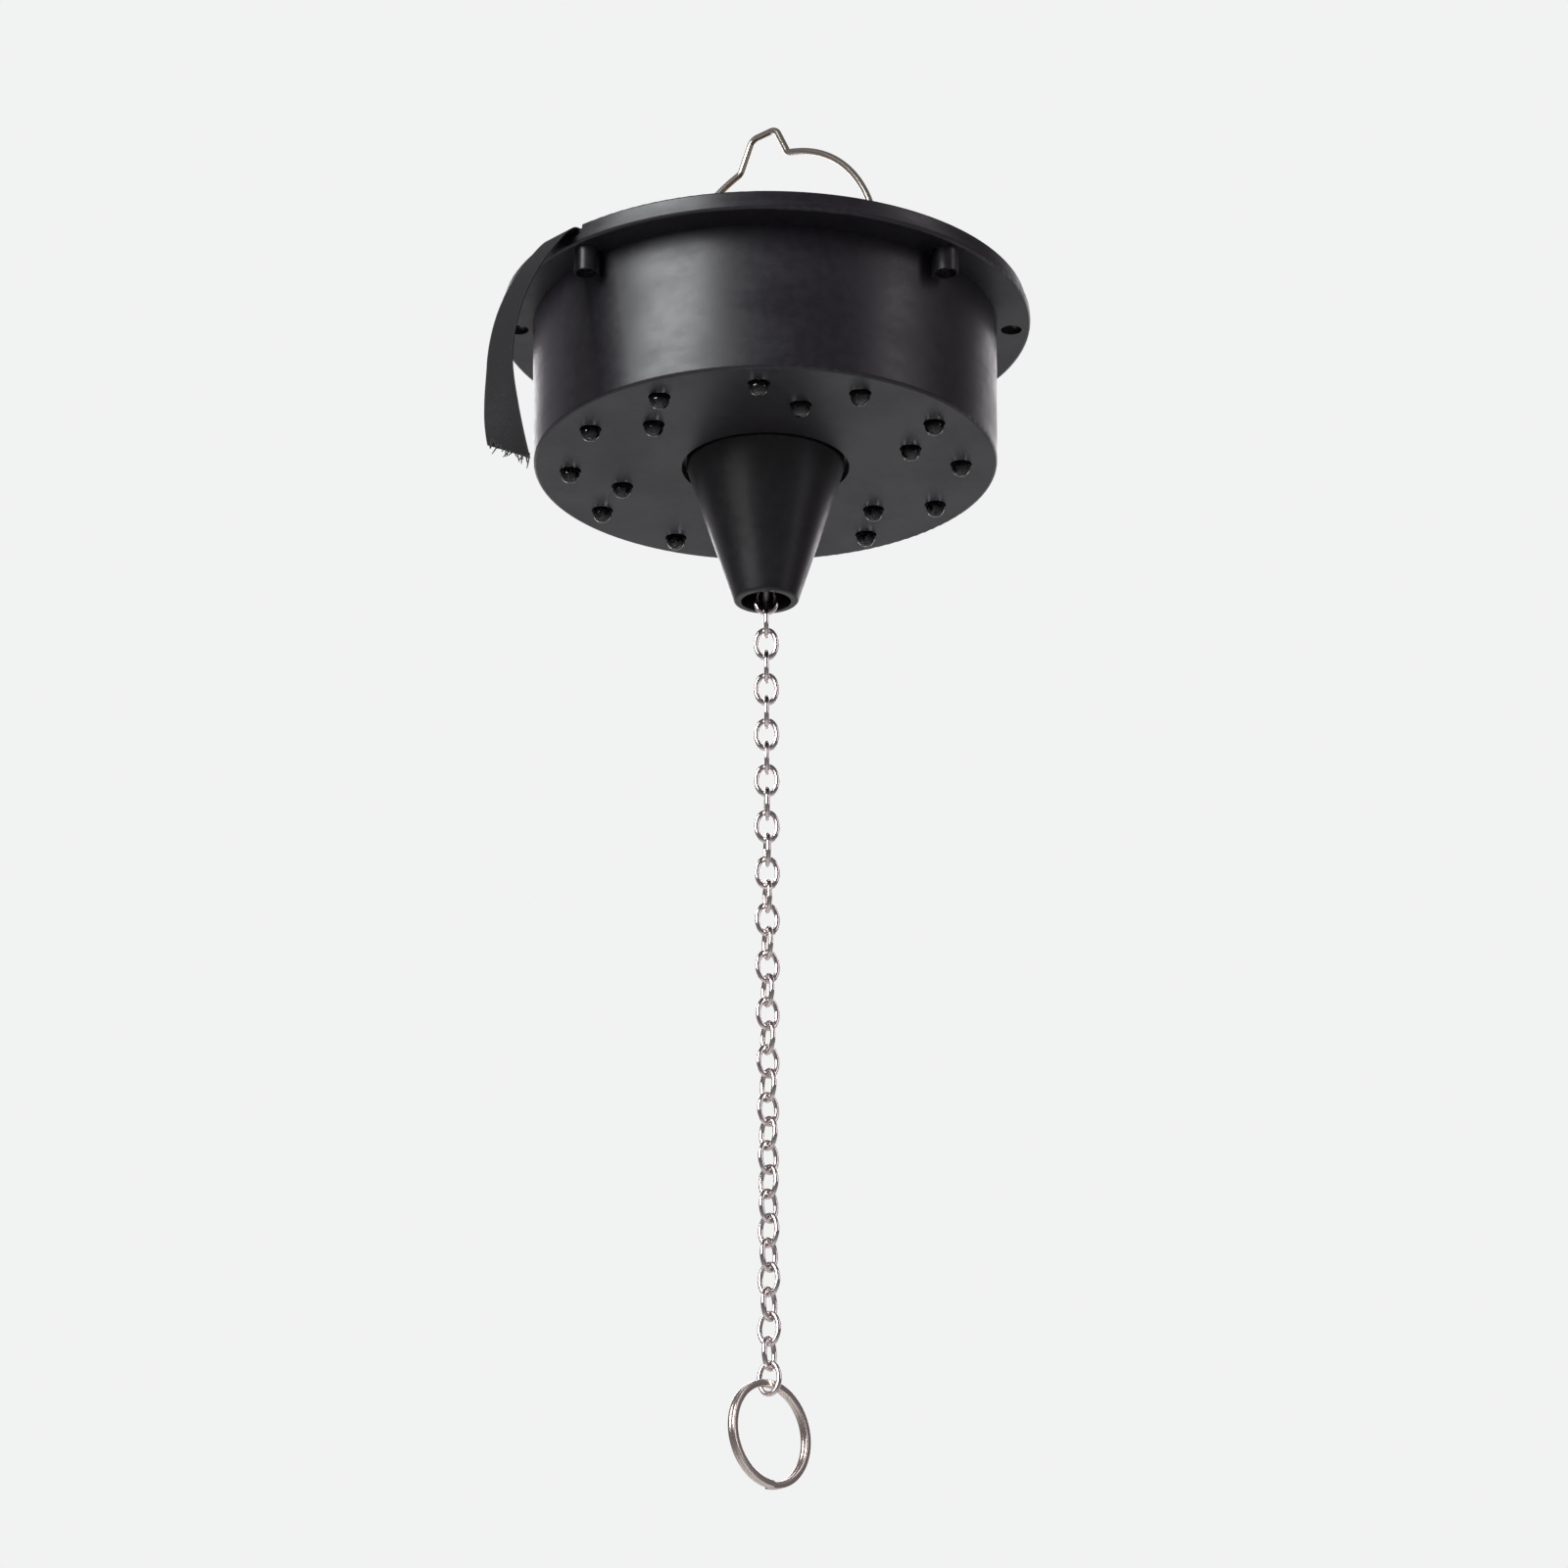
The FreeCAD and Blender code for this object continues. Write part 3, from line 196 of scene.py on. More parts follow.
class Effect:
    """A surface effect that several finishes share, kept as one shader node group."""

    name = "effect"
    numbers: dict[str, float] = {}
    results: tuple[str, ...] = ()

    @classmethod
    def group(cls) -> bpy.types.NodeTree:
        """The effect's node group, built the first time that it is asked for."""
        if cls.name not in bpy.data.node_groups:
            made = bpy.data.node_groups.new(cls.name, "ShaderNodeTree")
            for label, number in cls.numbers.items():
                socket = made.interface.new_socket(label, in_out="INPUT", socket_type=NUMBER_SOCKET)
                socket.default_value = number
            for label in cls.results:
                made.interface.new_socket(label, in_out="OUTPUT", socket_type=NUMBER_SOCKET)
            given = made.nodes.new("NodeGroupInput")
            taken = made.nodes.new("NodeGroupOutput")
            for label, socket in cls.wire(Tree(made), given.outputs).items():
                made.links.new(socket, taken.inputs[label])
        return bpy.data.node_groups[cls.name]

    @classmethod
    def wire(cls, tree: Tree, given: bpy.types.NodeOutputs) -> dict[str, bpy.types.NodeSocket]:
        """Makes the effect's nodes.

        Args:
            tree: The group's tree.
            given: The group's input values.

        Returns:
            A socket for each of the effect's results.
        """
        raise NotImplementedError

    @classmethod
    def place(cls, tree: Tree, **numbers: float) -> bpy.types.NodeOutputs:
        """Puts the effect in a material.

        Args:
            tree: The material's tree.
            numbers: Values for the effect's inputs.

        Returns:
            The effect's results.
        """
        node = tree.add("Group", node_tree=cls.group())
        for label, number in numbers.items():
            node.inputs[label.capitalize()].default_value = number
        return node.outputs


class Grain(Effect):
    """The fine stipple that a spark-eroded mould leaves on plastic."""

    name = "moulded grain"
    numbers = {"Scale": 3200.0, "Coarse": 420.0}
    results = ("Height", "Mottle")

    @classmethod
    def wire(cls, tree: Tree, given: bpy.types.NodeOutputs) -> dict[str, bpy.types.NodeSocket]:
        """A stipple over a slower swell, and the swell alone. See Effect.wire."""
        place = tree.object_place()
        fine = tree.noise(place, given["Scale"], 2, 0.6)
        slow = tree.noise(place, given["Coarse"], 3, 0.5)
        height = tree.maths("ADD", tree.maths("MULTIPLY", fine, 0.75), tree.maths("MULTIPLY", slow, 0.25))
        return {"Height": height, "Mottle": tree.ramp(slow, 0.35, 0.65)}


class Handling(Effect):
    """Faint smears and rubbed places, drawn out round the object."""

    name = "handling marks"
    numbers = {"Scale": 38.0, "Cover": 0.5}
    results = ("Smear", "Scuff")

    @classmethod
    def wire(cls, tree: Tree, given: bpy.types.NodeOutputs) -> dict[str, bpy.types.NodeSocket]:
        """Long soft smears, and short thin scuffs inside them. See Effect.wire."""
        smear = tree.noise(tree.object_place((1, 1, 2.4)), given["Scale"], 4, 0.6)
        lines = tree.noise(tree.object_place((1, 1, 9)), tree.maths("MULTIPLY", given["Scale"], 7), 2, 0.5)
        limit = tree.maths("SUBTRACT", 0.78, tree.maths("MULTIPLY", given["Cover"], 0.3))
        patches = tree.maths("GREATER_THAN", smear, limit)
        scuff = tree.maths("MULTIPLY", tree.ramp(lines, 0.6, 0.72), patches)
        return {"Smear": tree.ramp(smear, 0.38, 0.68), "Scuff": scuff}


class Dust(Effect):
    """Specks and a thin film, thickest on faces that look up."""

    name = "settled dust"
    numbers = {"Scale": 900.0, "Amount": 0.4}
    results = ("Film",)

    @classmethod
    def wire(cls, tree: Tree, given: bpy.types.NodeOutputs) -> dict[str, bpy.types.NodeSocket]:
        """Dust by the way a face looks, broken by noise. See Effect.wire."""
        normal = tree.add("NewGeometry").outputs["Normal"]
        upward = tree.ramp(tree.add("SeparateXYZ", {0: normal}).outputs["Z"], 0.2, 1.0)
        place = tree.object_place()
        specks = tree.ramp(tree.noise(place, given["Scale"], 4, 0.7), 0.56, 0.74)
        drift = tree.noise(place, tree.maths("MULTIPLY", given["Scale"], 0.06), 3, 0.6)
        film = tree.maths("MULTIPLY", upward, tree.maths("MULTIPLY", drift, 0.35))
        resting = tree.maths("MULTIPLY", specks, tree.maths("MULTIPLY_ADD", upward, 0.8, 0.06))
        both = tree.maths("ADD", film, resting)
        return {"Film": tree.maths("MULTIPLY", both, given["Amount"], clamp=True)}


class RubbedEdges(Effect):
    """Where a corner stands proud and is rubbed lighter."""

    name = "rubbed edges"
    numbers = {"Radius": 0.0004, "Scale": 600.0}
    results = ("Wear",)

    @classmethod
    def wire(cls, tree: Tree, given: bpy.types.NodeOutputs) -> dict[str, bpy.types.NodeSocket]:
        """How far the rounded normal leans from the flat one, broken by noise. See Effect.wire."""
        rounded = tree.add("Bevel", {"Radius": given["Radius"]}, samples=4).outputs["Normal"]
        flat = tree.add("NewGeometry").outputs["Normal"]
        lean = tree.add("VectorMath", {0: rounded, 1: flat}, operation="DOT_PRODUCT").outputs["Value"]
        edge = tree.ramp(tree.maths("SUBTRACT", 1, lean), 0.01, 0.16)
        broken = tree.ramp(tree.noise(tree.object_place(), given["Scale"], 3, 0.6), 0.3, 0.65)
        return {"Wear": tree.maths("MULTIPLY", edge, broken)}


class FineScratches(Effect):
    """Hairlines in bright metal, and patches where the plating is duller."""

    name = "fine scratches"
    numbers = {"Scale": 900.0}
    results = ("Lines", "Haze")

    @classmethod
    def wire(cls, tree: Tree, given: bpy.types.NodeOutputs) -> dict[str, bpy.types.NodeSocket]:
        """Two crossed sets of stretched noise, and a slow cloud. See Effect.wire."""
        along = tree.noise(tree.object_place((1, 1, 14)), given["Scale"], 2, 0.5)
        across = tree.noise(tree.object_place((14, 6, 1)), given["Scale"], 2, 0.5)
        lines = tree.maths("MAXIMUM", tree.ramp(along, 0.6, 0.7), tree.ramp(across, 0.62, 0.72))
        slow = tree.noise(tree.object_place(), tree.maths("MULTIPLY", given["Scale"], 0.3), 3, 0.6)
        return {"Lines": lines, "Haze": tree.ramp(slow, 0.35, 0.7)}


class PlainWeave(Effect):
    """Over-and-under threads, on the piece's own unrolled width and length."""

    name = "plain weave"
    numbers = {"Across": 30.0, "Along": 900.0}
    results = ("Height", "Warp", "Selvedge")

    @classmethod
    def wire(cls, tree: Tree, given: bpy.types.NodeOutputs) -> dict[str, bpy.types.NodeSocket]:
        """Two sets of rounded threads that pass over each other in turn. See Effect.wire."""
        place = tree.add("SeparateXYZ", {0: tree.add("UVMap").outputs["UV"]})
        width, length = place.outputs["X"], place.outputs["Y"]
        waves = []
        for run, count in ((width, given["Across"]), (length, given["Along"])):
            turns = tree.maths("MULTIPLY", count, math.tau)
            waves.append(tree.maths("SINE", tree.maths("MULTIPLY", run, turns)))
        warp, weft = waves
        turn = tree.maths("MULTIPLY", warp, weft)
        over = tree.ramp(turn, -0.3, 0.3)
        rounded = tree.maths("ADD", tree.maths("ABSOLUTE", warp), tree.maths("ABSOLUTE", weft))
        height = tree.maths("ADD", tree.maths("MULTIPLY", over, 0.5), tree.maths("MULTIPLY", rounded, 0.25))
        edge = tree.maths("ABSOLUTE", tree.maths("SUBTRACT", width, 0.5))
        return {"Height": height, "Warp": over, "Selvedge": tree.ramp(edge, 0.44, 0.47)}


# ------------------------------------------------------------------ finishes


class Finish:
    """A finish makes its own material once, named for its slot in the record and for itself."""

    slot = ""

    def material(self, name: str) -> bpy.types.Material:
        """The finish's material, built the first time that it is asked for.

        Args:
            name: The finish's own name.

        Returns:
            The material.
        """
        label = f"{self.slot} {name.lower()}"
        if label not in bpy.data.materials:
            made = bpy.data.materials.new(label)
            made.use_nodes = True
            made.node_tree.nodes.clear()
            tree = Tree(made.node_tree)
            surface = tree.add("OutputMaterial")
            made.node_tree.links.new(self.surface(tree), surface.inputs["Surface"])
        return bpy.data.materials[label]

    def surface(self, tree: Tree) -> bpy.types.NodeSocket:
        """Makes the finish's nodes.

        Args:
            tree: The material's tree.

        Returns:
            The shader's socket.
        """
        raise NotImplementedError

    def bump(self, tree: Tree, height: bpy.types.NodeSocket, depth: float) -> bpy.types.NodeSocket:
        """Turns a height into a normal.

        Args:
            tree: The material's tree.
            height: The height's socket, from 0 to 1.
            depth: How deep 1 is, in millimetres.

        Returns:
            The normal's socket.
        """
        return tree.add("Bump", {"Height": height, "Distance": depth * MM}).outputs["Normal"]

    def shader(self, tree: Tree, **inputs: object) -> bpy.types.NodeSocket:
        """A Principled shader whose sockets are given by name, with _ for each space.

        Args:
            tree: The material's tree.
            inputs: The sockets' values or sources.

        Returns:
            The shader's socket.
        """
        named = {name.replace("_", " "): source for name, source in inputs.items()}
        return tree.add("BsdfPrincipled", named).outputs["BSDF"]


@dataclass(frozen=True)
class MouldedPlastic(Finish):
    """Injection-moulded plastic with a fine stipple, smears, dust and rubbed edges."""

    slot: str = "black_abs"
    tint: Colour = (0.0118, 0.0100, 0.0140)
    rubbed: Colour = (0.06, 0.06, 0.063)
    roughness: float = 0.38
    grain_depth: float = 0.012
    dust: float = 0.35
    smears: float = 0.5
    dust_tint: Colour = (0.22, 0.21, 0.2)

    def surface(self, tree: Tree) -> bpy.types.NodeSocket:
        """See Finish.surface."""
        grain = Grain.place(tree)
        marks = Handling.place(tree, cover=self.smears)
        film = Dust.place(tree, amount=self.dust)["Film"]
        wear = RubbedEdges.place(tree)["Wear"]
        lighter = tuple(1.35 * part + 0.002 for part in self.tint)
        body = tree.blend(tree.maths("MULTIPLY", grain["Mottle"], 0.5), self.tint, lighter)
        body = tree.blend(tree.maths("MULTIPLY", marks["Scuff"], 0.25), body, self.rubbed)
        body = tree.blend(tree.maths("MULTIPLY", wear, 0.35), body, self.rubbed)
        body = tree.blend(film, body, self.dust_tint)
        rough = tree.maths("MULTIPLY_ADD", marks["Smear"], 0.09, self.roughness - 0.03)
        rough = tree.maths("ADD", rough, tree.maths("MULTIPLY", grain["Mottle"], 0.03))
        rough = tree.maths("ADD", rough, tree.maths("MULTIPLY", film, 0.4), clamp=True)
        normal = self.bump(tree, grain["Height"], self.grain_depth)
        return self.shader(tree, Base_Color=body, Roughness=rough, IOR=1.5, Normal=normal)


@dataclass(frozen=True)
class PlatedMetal(Finish):
    """Bright plated or bare metal with hairlines and duller patches."""

    slot: str = "chain_nickel"
    tint: Colour = (0.86, 0.79, 0.775)
    dull: Colour = (0.56, 0.49, 0.47)
    roughness: float = 0.1
    haze: float = 0.04
    scratch_scale: float = 900.0
    line_roughness: float = 0.015

    def surface(self, tree: Tree) -> bpy.types.NodeSocket:
        """See Finish.surface."""
        marks = FineScratches.place(tree, scale=self.scratch_scale)
        colour = tree.blend(tree.maths("MULTIPLY", marks["Haze"], 0.25), self.tint, self.dull)
        rough = tree.maths("MULTIPLY_ADD", marks["Haze"], self.haze, self.roughness)
        lines = tree.maths("MULTIPLY", marks["Lines"], self.line_roughness)
        rough = tree.maths("ADD", rough, lines, clamp=True)
        return self.shader(tree, Base_Color=colour, Metallic=1.0, Roughness=rough)


@dataclass(frozen=True)
class ClearResin(Finish):
    """Water-clear epoxy of a light's lens, with the faint ripple that casting leaves."""

    slot: str = "clear_epoxy"
    tint: Colour = (0.58, 0.585, 0.59)
    ior: float = 1.54
    ripple: float = 0.004

    def surface(self, tree: Tree) -> bpy.types.NodeSocket:
        """See Finish.surface."""
        swell = tree.noise(tree.object_place(), 420.0, 2, 0.5)
        rough = tree.maths("MULTIPLY_ADD", tree.ramp(swell, 0.4, 0.7), 0.02, 0.004)
        normal = self.bump(tree, swell, self.ripple)
        return self.shader(tree, Base_Color=(*self.tint, 1), Transmission_Weight=1.0, Roughness=rough,
                           IOR=self.ior, Normal=normal)


@dataclass(frozen=True)
class CircuitLaminate(Finish):
    """Green solder mask over copper tracks, on glass laminate."""

    slot: str = "circuit_board"
    mask: Colour = (0.010, 0.085, 0.028)
    track: Colour = (0.03, 0.16, 0.05)
    glass: Colour = (0.2, 0.3, 0.15)
    relief: float = 0.03

    def surface(self, tree: Tree) -> bpy.types.NodeSocket:
        """See Finish.surface."""
        place = tree.object_place()
        cells = tree.add("TexVoronoi", {"Vector": place, "Scale": 140.0}, feature="DISTANCE_TO_EDGE")
        lines = tree.ramp(cells.outputs["Distance"], 0.07, 0.05)
        fibre = tree.noise(tree.object_place((1, 6, 1)), 2500.0, 2, 0.5)
        colour = tree.blend(tree.maths("MULTIPLY", lines, 0.8), self.mask, self.track)
        colour = tree.blend(tree.maths("MULTIPLY", fibre, 0.12), colour, self.glass)
        height = tree.maths("ADD", tree.maths("MULTIPLY", lines, 0.7), tree.maths("MULTIPLY", fibre, 0.3))
        return self.shader(tree, Base_Color=colour, Roughness=tree.maths("MULTIPLY_ADD", fibre, 0.2, 0.2),
                           Normal=self.bump(tree, height, self.relief))


@dataclass(frozen=True)
class CellSleeve(Finish):
    """Shrunk plastic sleeve of a dry cell: a dark body, a coloured band at one end and bare steel past it."""

    slot: str = "cell_sleeve"
    body: Colour = (0.02, 0.028, 0.03)
    band: Colour = (0.42, 0.19, 0.045)
    steel: Colour = (0.62, 0.61, 0.6)
    scuffed: Colour = (0.4, 0.4, 0.4)
    band_start: float = 0.72
    wrinkle_depth: float = 0.03

    def surface(self, tree: Tree) -> bpy.types.NodeSocket:
        """See Finish.surface. The piece's own map runs along the cell from 0, the flat end, to 1."""
        along = tree.add("SeparateXYZ", {0: tree.add("UVMap").outputs["UV"]}).outputs["Y"]
        banded = tree.maths("GREATER_THAN", along, self.band_start)
        bare = tree.add("Attribute", attribute_name="bare_metal").outputs["Fac"]
        marks = Handling.place(tree, scale=90.0, cover=0.4)
        colour = tree.blend(banded, self.body, self.band)
        colour = tree.blend(tree.maths("MULTIPLY", marks["Scuff"], 0.3), colour, self.scuffed)
        colour = tree.blend(bare, colour, self.steel)
        rough = tree.maths("MULTIPLY_ADD", marks["Smear"], 0.15, 0.22)
        wrinkle = tree.noise(tree.object_place(), 300.0, 2, 0.5)
        return self.shader(tree, Base_Color=colour, Metallic=bare, Roughness=rough,
                           Normal=self.bump(tree, wrinkle, self.wrinkle_depth))


@dataclass(frozen=True)
class WovenRibbon(Finish):
    """Black polyester ribbon in a plain weave, with a denser selvedge, a soft sheen and a painted highlight
    on its raised threads.
    """

    slot: str = "black_ribbon"
    thread: Colour = (0.0045, 0.0042, 0.0052)
    # Painted highlight: the colour of the raised threads, lighter than the thread itself.
    raised_thread_highlight: Colour = (0.0105, 0.0095, 0.0115)
    threads_across: float = 16.0
    threads_along: float = 280.0
    selvedge: Colour = (0.02, 0.015, 0.02)
    lint: Colour = (0.09, 0.085, 0.085)
    weave_depth: float = 0.09

    def surface(self, tree: Tree) -> bpy.types.NodeSocket:
        """See Finish.surface."""
        weave = PlainWeave.place(tree, across=self.threads_across, along=self.threads_along)
        fluff = tree.noise(tree.object_place(), 2600.0, 3, 0.7)
        lint = tree.ramp(tree.noise(tree.object_place(), 700.0, 4, 0.7), 0.64, 0.76)
        # Painted highlight: the squares where the warp lies over are drawn lighter, standing in for light on
        # the raised threads.
        colour = tree.blend(weave["Warp"], self.thread, self.raised_thread_highlight)
        colour = tree.blend(tree.maths("MULTIPLY", weave["Selvedge"], 0.6), colour, self.selvedge)
        colour = tree.blend(tree.maths("MULTIPLY", lint, 0.25), colour, self.lint)
        height = tree.maths("ADD", weave["Height"], tree.maths("MULTIPLY", fluff, 0.35))
        height = tree.maths("ADD", height, tree.maths("MULTIPLY", weave["Selvedge"], 0.8))
        rough = tree.maths("MULTIPLY_ADD", fluff, 0.2, 0.55)
        return self.shader(tree, Base_Color=colour, Roughness=rough, Specular_IOR_Level=0.3,
                           Sheen_Weight=0.03, Normal=self.bump(tree, height, self.weave_depth))


@dataclass(frozen=True)
class PaleSweep(Finish):
    """Matt pale paper of the floor."""

    slot: str = "paper"
    tint: Colour = (0.86, 0.86, 0.865)

    def surface(self, tree: Tree) -> bpy.types.NodeSocket:
        """See Finish.surface."""
        tooth = tree.noise(tree.object_place(), 300.0, 3, 0.6)
        colour = tree.blend(tooth, self.tint, tuple(0.985 * part for part in self.tint))
        return self.shader(tree, Base_Color=colour, Roughness=0.9, Specular_IOR_Level=0.2)


class Finishes(Enum):
    """The finishes of this object's pieces."""

    CAN = MouldedPlastic()
    COVER = MouldedPlastic(roughness=0.36, dust=0.5)
    CONE = MouldedPlastic(tint=(0.0095, 0.0088, 0.0105), roughness=0.33, grain_depth=0.008, smears=0.2)
    SWITCH = MouldedPlastic("switch_black", (0.008, 0.008, 0.009), roughness=0.3, grain_depth=0.005,
                            smears=0.1)
    WHITE_ACETAL = MouldedPlastic("white_acetal", (0.72, 0.71, 0.67), (0.8, 0.79, 0.76), 0.35, 0.006, 0.1,
                                  0.1)
    GREY_ACETAL = MouldedPlastic("grey_acetal", (0.24, 0.25, 0.26), (0.34, 0.35, 0.36), 0.38, 0.006, 0.1, 0.1)
    CHAIN = PlatedMetal()
    RING = PlatedMetal("nickel_wire", (0.84, 0.75, 0.69), (0.60, 0.52, 0.46), 0.2)
    BAIL = PlatedMetal("nickel_wire", (0.78, 0.72, 0.63), (0.50, 0.44, 0.37), 0.2)
    CROSS_PIN = PlatedMetal("screw_steel", (0.14, 0.13, 0.13), (0.05, 0.05, 0.05), 0.35)
    SCREWS = PlatedMetal("screw_steel", (0.5, 0.5, 0.5), (0.2, 0.2, 0.2), 0.28)
    SPRINGS = PlatedMetal("nickel_wire", (0.72, 0.7, 0.66), (0.5, 0.47, 0.42), 0.2)
    MOTOR = PlatedMetal("motor_steel", (0.6, 0.6, 0.6), (0.42, 0.42, 0.42), 0.3, scratch_scale=300.0)
    BRASS = PlatedMetal("brass", (0.78, 0.57, 0.25), (0.45, 0.3, 0.12), 0.25)
    LENS = ClearResin()
    # Painted shade: the lead frames' nickel gets a dark tint that stands in for the shade inside the lenses.
    LEAD_FRAME_PAINTED_SHADE = PlatedMetal("nickel_wire", (0.26, 0.255, 0.25), (0.12, 0.12, 0.11), 0.4)
    BOARD = CircuitLaminate()
    CELL = CellSleeve()
    RIBBON = WovenRibbon()
    THREAD = MouldedPlastic("black_ribbon", (0.018, 0.016, 0.019), (0.08, 0.08, 0.08), 0.6, 0.004, 0.2, 0.1)
    PAPER = PaleSweep()


# ------------------------------------------------------------------ modelling by hand


class Bench:
    """Short ways to shape a mesh in edit mode, as a modeller would."""

    @staticmethod
    def clear() -> None:
        """Leaves edit mode and deselects everything."""
        if bpy.context.object and bpy.context.object.mode != "OBJECT":
            bpy.ops.object.mode_set(mode="OBJECT")
        bpy.ops.object.select_all(action="DESELECT")

    @staticmethod
    def pick(pieces: Sequence[bpy.types.Object]) -> None:
        """Selects pieces and nothing else, and makes the first one active."""
        Bench.clear()
        for piece in pieces:
            piece.select_set(True)
        bpy.context.view_layer.objects.active = pieces[0]

    @staticmethod
    def placed(name: str, data: bpy.types.ID) -> bpy.types.Object:
        """Puts a mesh, light or camera in the scene as a new object of the given name."""
        holder = bpy.data.objects.new(name, data)
        bpy.context.scene.collection.objects.link(holder)
        return holder

    @staticmethod
    @contextmanager
    def shaping() -> Iterator[None]:
        """Edit mode on the active piece for as long as the block lasts, with everything selected at first."""
        bpy.ops.object.mode_set(mode="EDIT")
        bpy.ops.mesh.select_all(action="SELECT")
        yield
        bpy.ops.object.mode_set(mode="OBJECT")

    @staticmethod
    def select(obj: bpy.types.Object, wanted: Callable[[bmesh.types.BMVert], bool]) -> None:
        """Selects the vertices that a test picks, in edit mode.

        Args:
            obj: The object that is being edited.
            wanted: The test, given each vertex.
        """
        bpy.ops.mesh.select_mode(type="VERT")
        bpy.ops.mesh.select_all(action="DESELECT")
        mesh = bmesh.from_edit_mesh(obj.data)
        for vert in mesh.verts:
            vert.select_set(wanted(vert))
        mesh.select_flush(True)
        bmesh.update_edit_mesh(obj.data)

    @staticmethod
    def turned(name: str, outline: Sequence[tuple[float, float]], segments: int) -> bpy.types.Object:
        """A round piece about Z, made of a disc that is extruded and resized ring by ring.

        Args:
            name: The new piece's name.
            outline: Radius and height of each ring, in millimetres, from one closed end to the other.
            segments: How many sides each ring has.

        Returns:
            The piece, with smooth sides.
        """
        Bench.clear()
        radius, height = outline[0]
        bpy.ops.mesh.primitive_circle_add(vertices=segments, radius=radius * MM, fill_type="TRIFAN",
                                          location=(0, 0, height * MM))
        piece = bpy.context.object
        piece.name = name
        bpy.ops.object.transform_apply(location=True, rotation=True, scale=True)
        with Bench.shaping():
            for next_radius, next_height in outline[1:]:
                rise = (next_height - height) * MM
                bpy.ops.mesh.extrude_region_move(TRANSFORM_OT_translate={"value": (0, 0, rise)})
                share = next_radius / radius
                bpy.ops.transform.resize(value=(share, share, 1), center_override=(0, 0, next_height * MM))
                radius, height = next_radius, next_height
            bpy.ops.mesh.select_all(action="SELECT")
            bpy.ops.mesh.normals_make_consistent(inside=False)
        Bench.smooth(piece)
        return piece

    @staticmethod
    def block(name: str, low: Sequence[float], high: Sequence[float], bevel: float) -> bpy.types.Object:
        """A block with softened edges, still open to more shaping.

        Args:
            name: The new piece's name.
            low: Its lowest corner, in millimetres.
            high: Its highest corner, in millimetres.
            bevel: Width of the softened edges, in millimetres.

        Returns:
            The piece.
        """
        Bench.clear()
        low_corner, high_corner = Vector(low) * MM, Vector(high) * MM
        bpy.ops.mesh.primitive_cube_add(size=1, location=(low_corner + high_corner) / 2)
        piece = bpy.context.object
        piece.name = name
        piece.scale = high_corner - low_corner
        bpy.ops.object.transform_apply(location=True, rotation=True, scale=True)
        with Bench.shaping():
            bpy.ops.mesh.bevel(offset=bevel * MM, segments=2, affect="EDGES")
        return piece

    @staticmethod
    def smooth(piece: bpy.types.Object, angle: float = 40) -> None:
        """Shades a piece smooth where its faces meet at less than the angle in degrees."""
        Bench.pick([piece])
        bpy.ops.object.shade_smooth_by_angle(angle=math.radians(angle))

    @staticmethod
    def join(name: str, pieces: Sequence[bpy.types.Object]) -> bpy.types.Object:
        """Joins pieces into one object, which takes the name.

        Args:
            name: The joined object's name.
            pieces: The pieces, the first of which stays.

        Returns:
            The joined object.
        """
        Bench.pick(pieces)
        bpy.ops.object.join()
        joined = bpy.context.object
        joined.name = name
        return joined

    @staticmethod
    def repeat(name: str, model: bpy.types.Object, places: Iterable[Matrix]) -> bpy.types.Object:
        """Copies a piece to many places, each with its own mesh, and joins the copies.

        Args:
            name: The joined object's name.
            model: The piece, which is used up.
            places: Where the copies go.

        Returns:
            The joined object.
        """
        copies = []
        for place in places:
            copy = Bench.placed(name, model.data.copy())
            copy.data.transform(place)
            copies.append(copy)
        bpy.data.objects.remove(model)
        return Bench.join(name, copies)

    @staticmethod
    def apply(piece: bpy.types.Object, kind: str, **settings: object) -> None:
        """Adds a modifier and applies it.

        Args:
            piece: The piece.
            kind: The modifier's type.
            settings: Its properties.
        """
        Bench.pick([piece])
        modifier = piece.modifiers.new(kind.lower(), kind)
        for name, setting in settings.items():
            setattr(modifier, name, setting)
        bpy.ops.object.modifier_apply(modifier=modifier.name)


def dress(piece: bpy.types.Object, finish: Finishes) -> None:
    """Gives a piece one finish all over.

    Args:
        piece: A new piece or a node of the model.
        finish: The finish.
    """
    piece.data.materials.clear()
    piece.data.materials.append(finish.value.material(finish.name))


def hand_over(piece: bpy.types.Object, body: str, finish: Finishes, stands_for: Sequence[str] = ()) -> None:
    """Finishes a new piece: its finish, the body that it moves with and the nodes that it stands for.

    Args:
        piece: The piece.
        body: Name of the body that it rides on.
        finish: Its finish.
        stands_for: Nodes of the model that it hides.
    """
    dress(piece, finish)
    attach(piece, body)
    for node in stands_for:
        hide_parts(node)
    LOG.info("%s: %d faces, on %s", piece.name, len(piece.data.polygons), body)


# ------------------------------------------------------------------ sub-assemblies


@dataclass
class SubAssembly:
    """A part of the object that is built and dressed together."""

    nodes: dict[str, bpy.types.Object]
    can_depth: float = 45.4

    def level(self, above_floor: float) -> float:
        """A height above the can's floor, as a height in the model's frame, both in millimetres."""
        return above_floor - self.can_depth

    def finish_nodes(self, finishes: dict[Finishes, tuple[str, ...]]) -> None:
        """Gives nodes of the model their finishes. A later finish takes the place of an earlier one.

        Args:
            finishes: For each finish, its nodes' names or the starts of them.
        """
        for finish, starts in finishes.items():
            for name, node in self.nodes.items():
                if name.startswith(starts):
                    dress(node, finish)
                    LOG.info("%s: node, %s", name, finish.name)


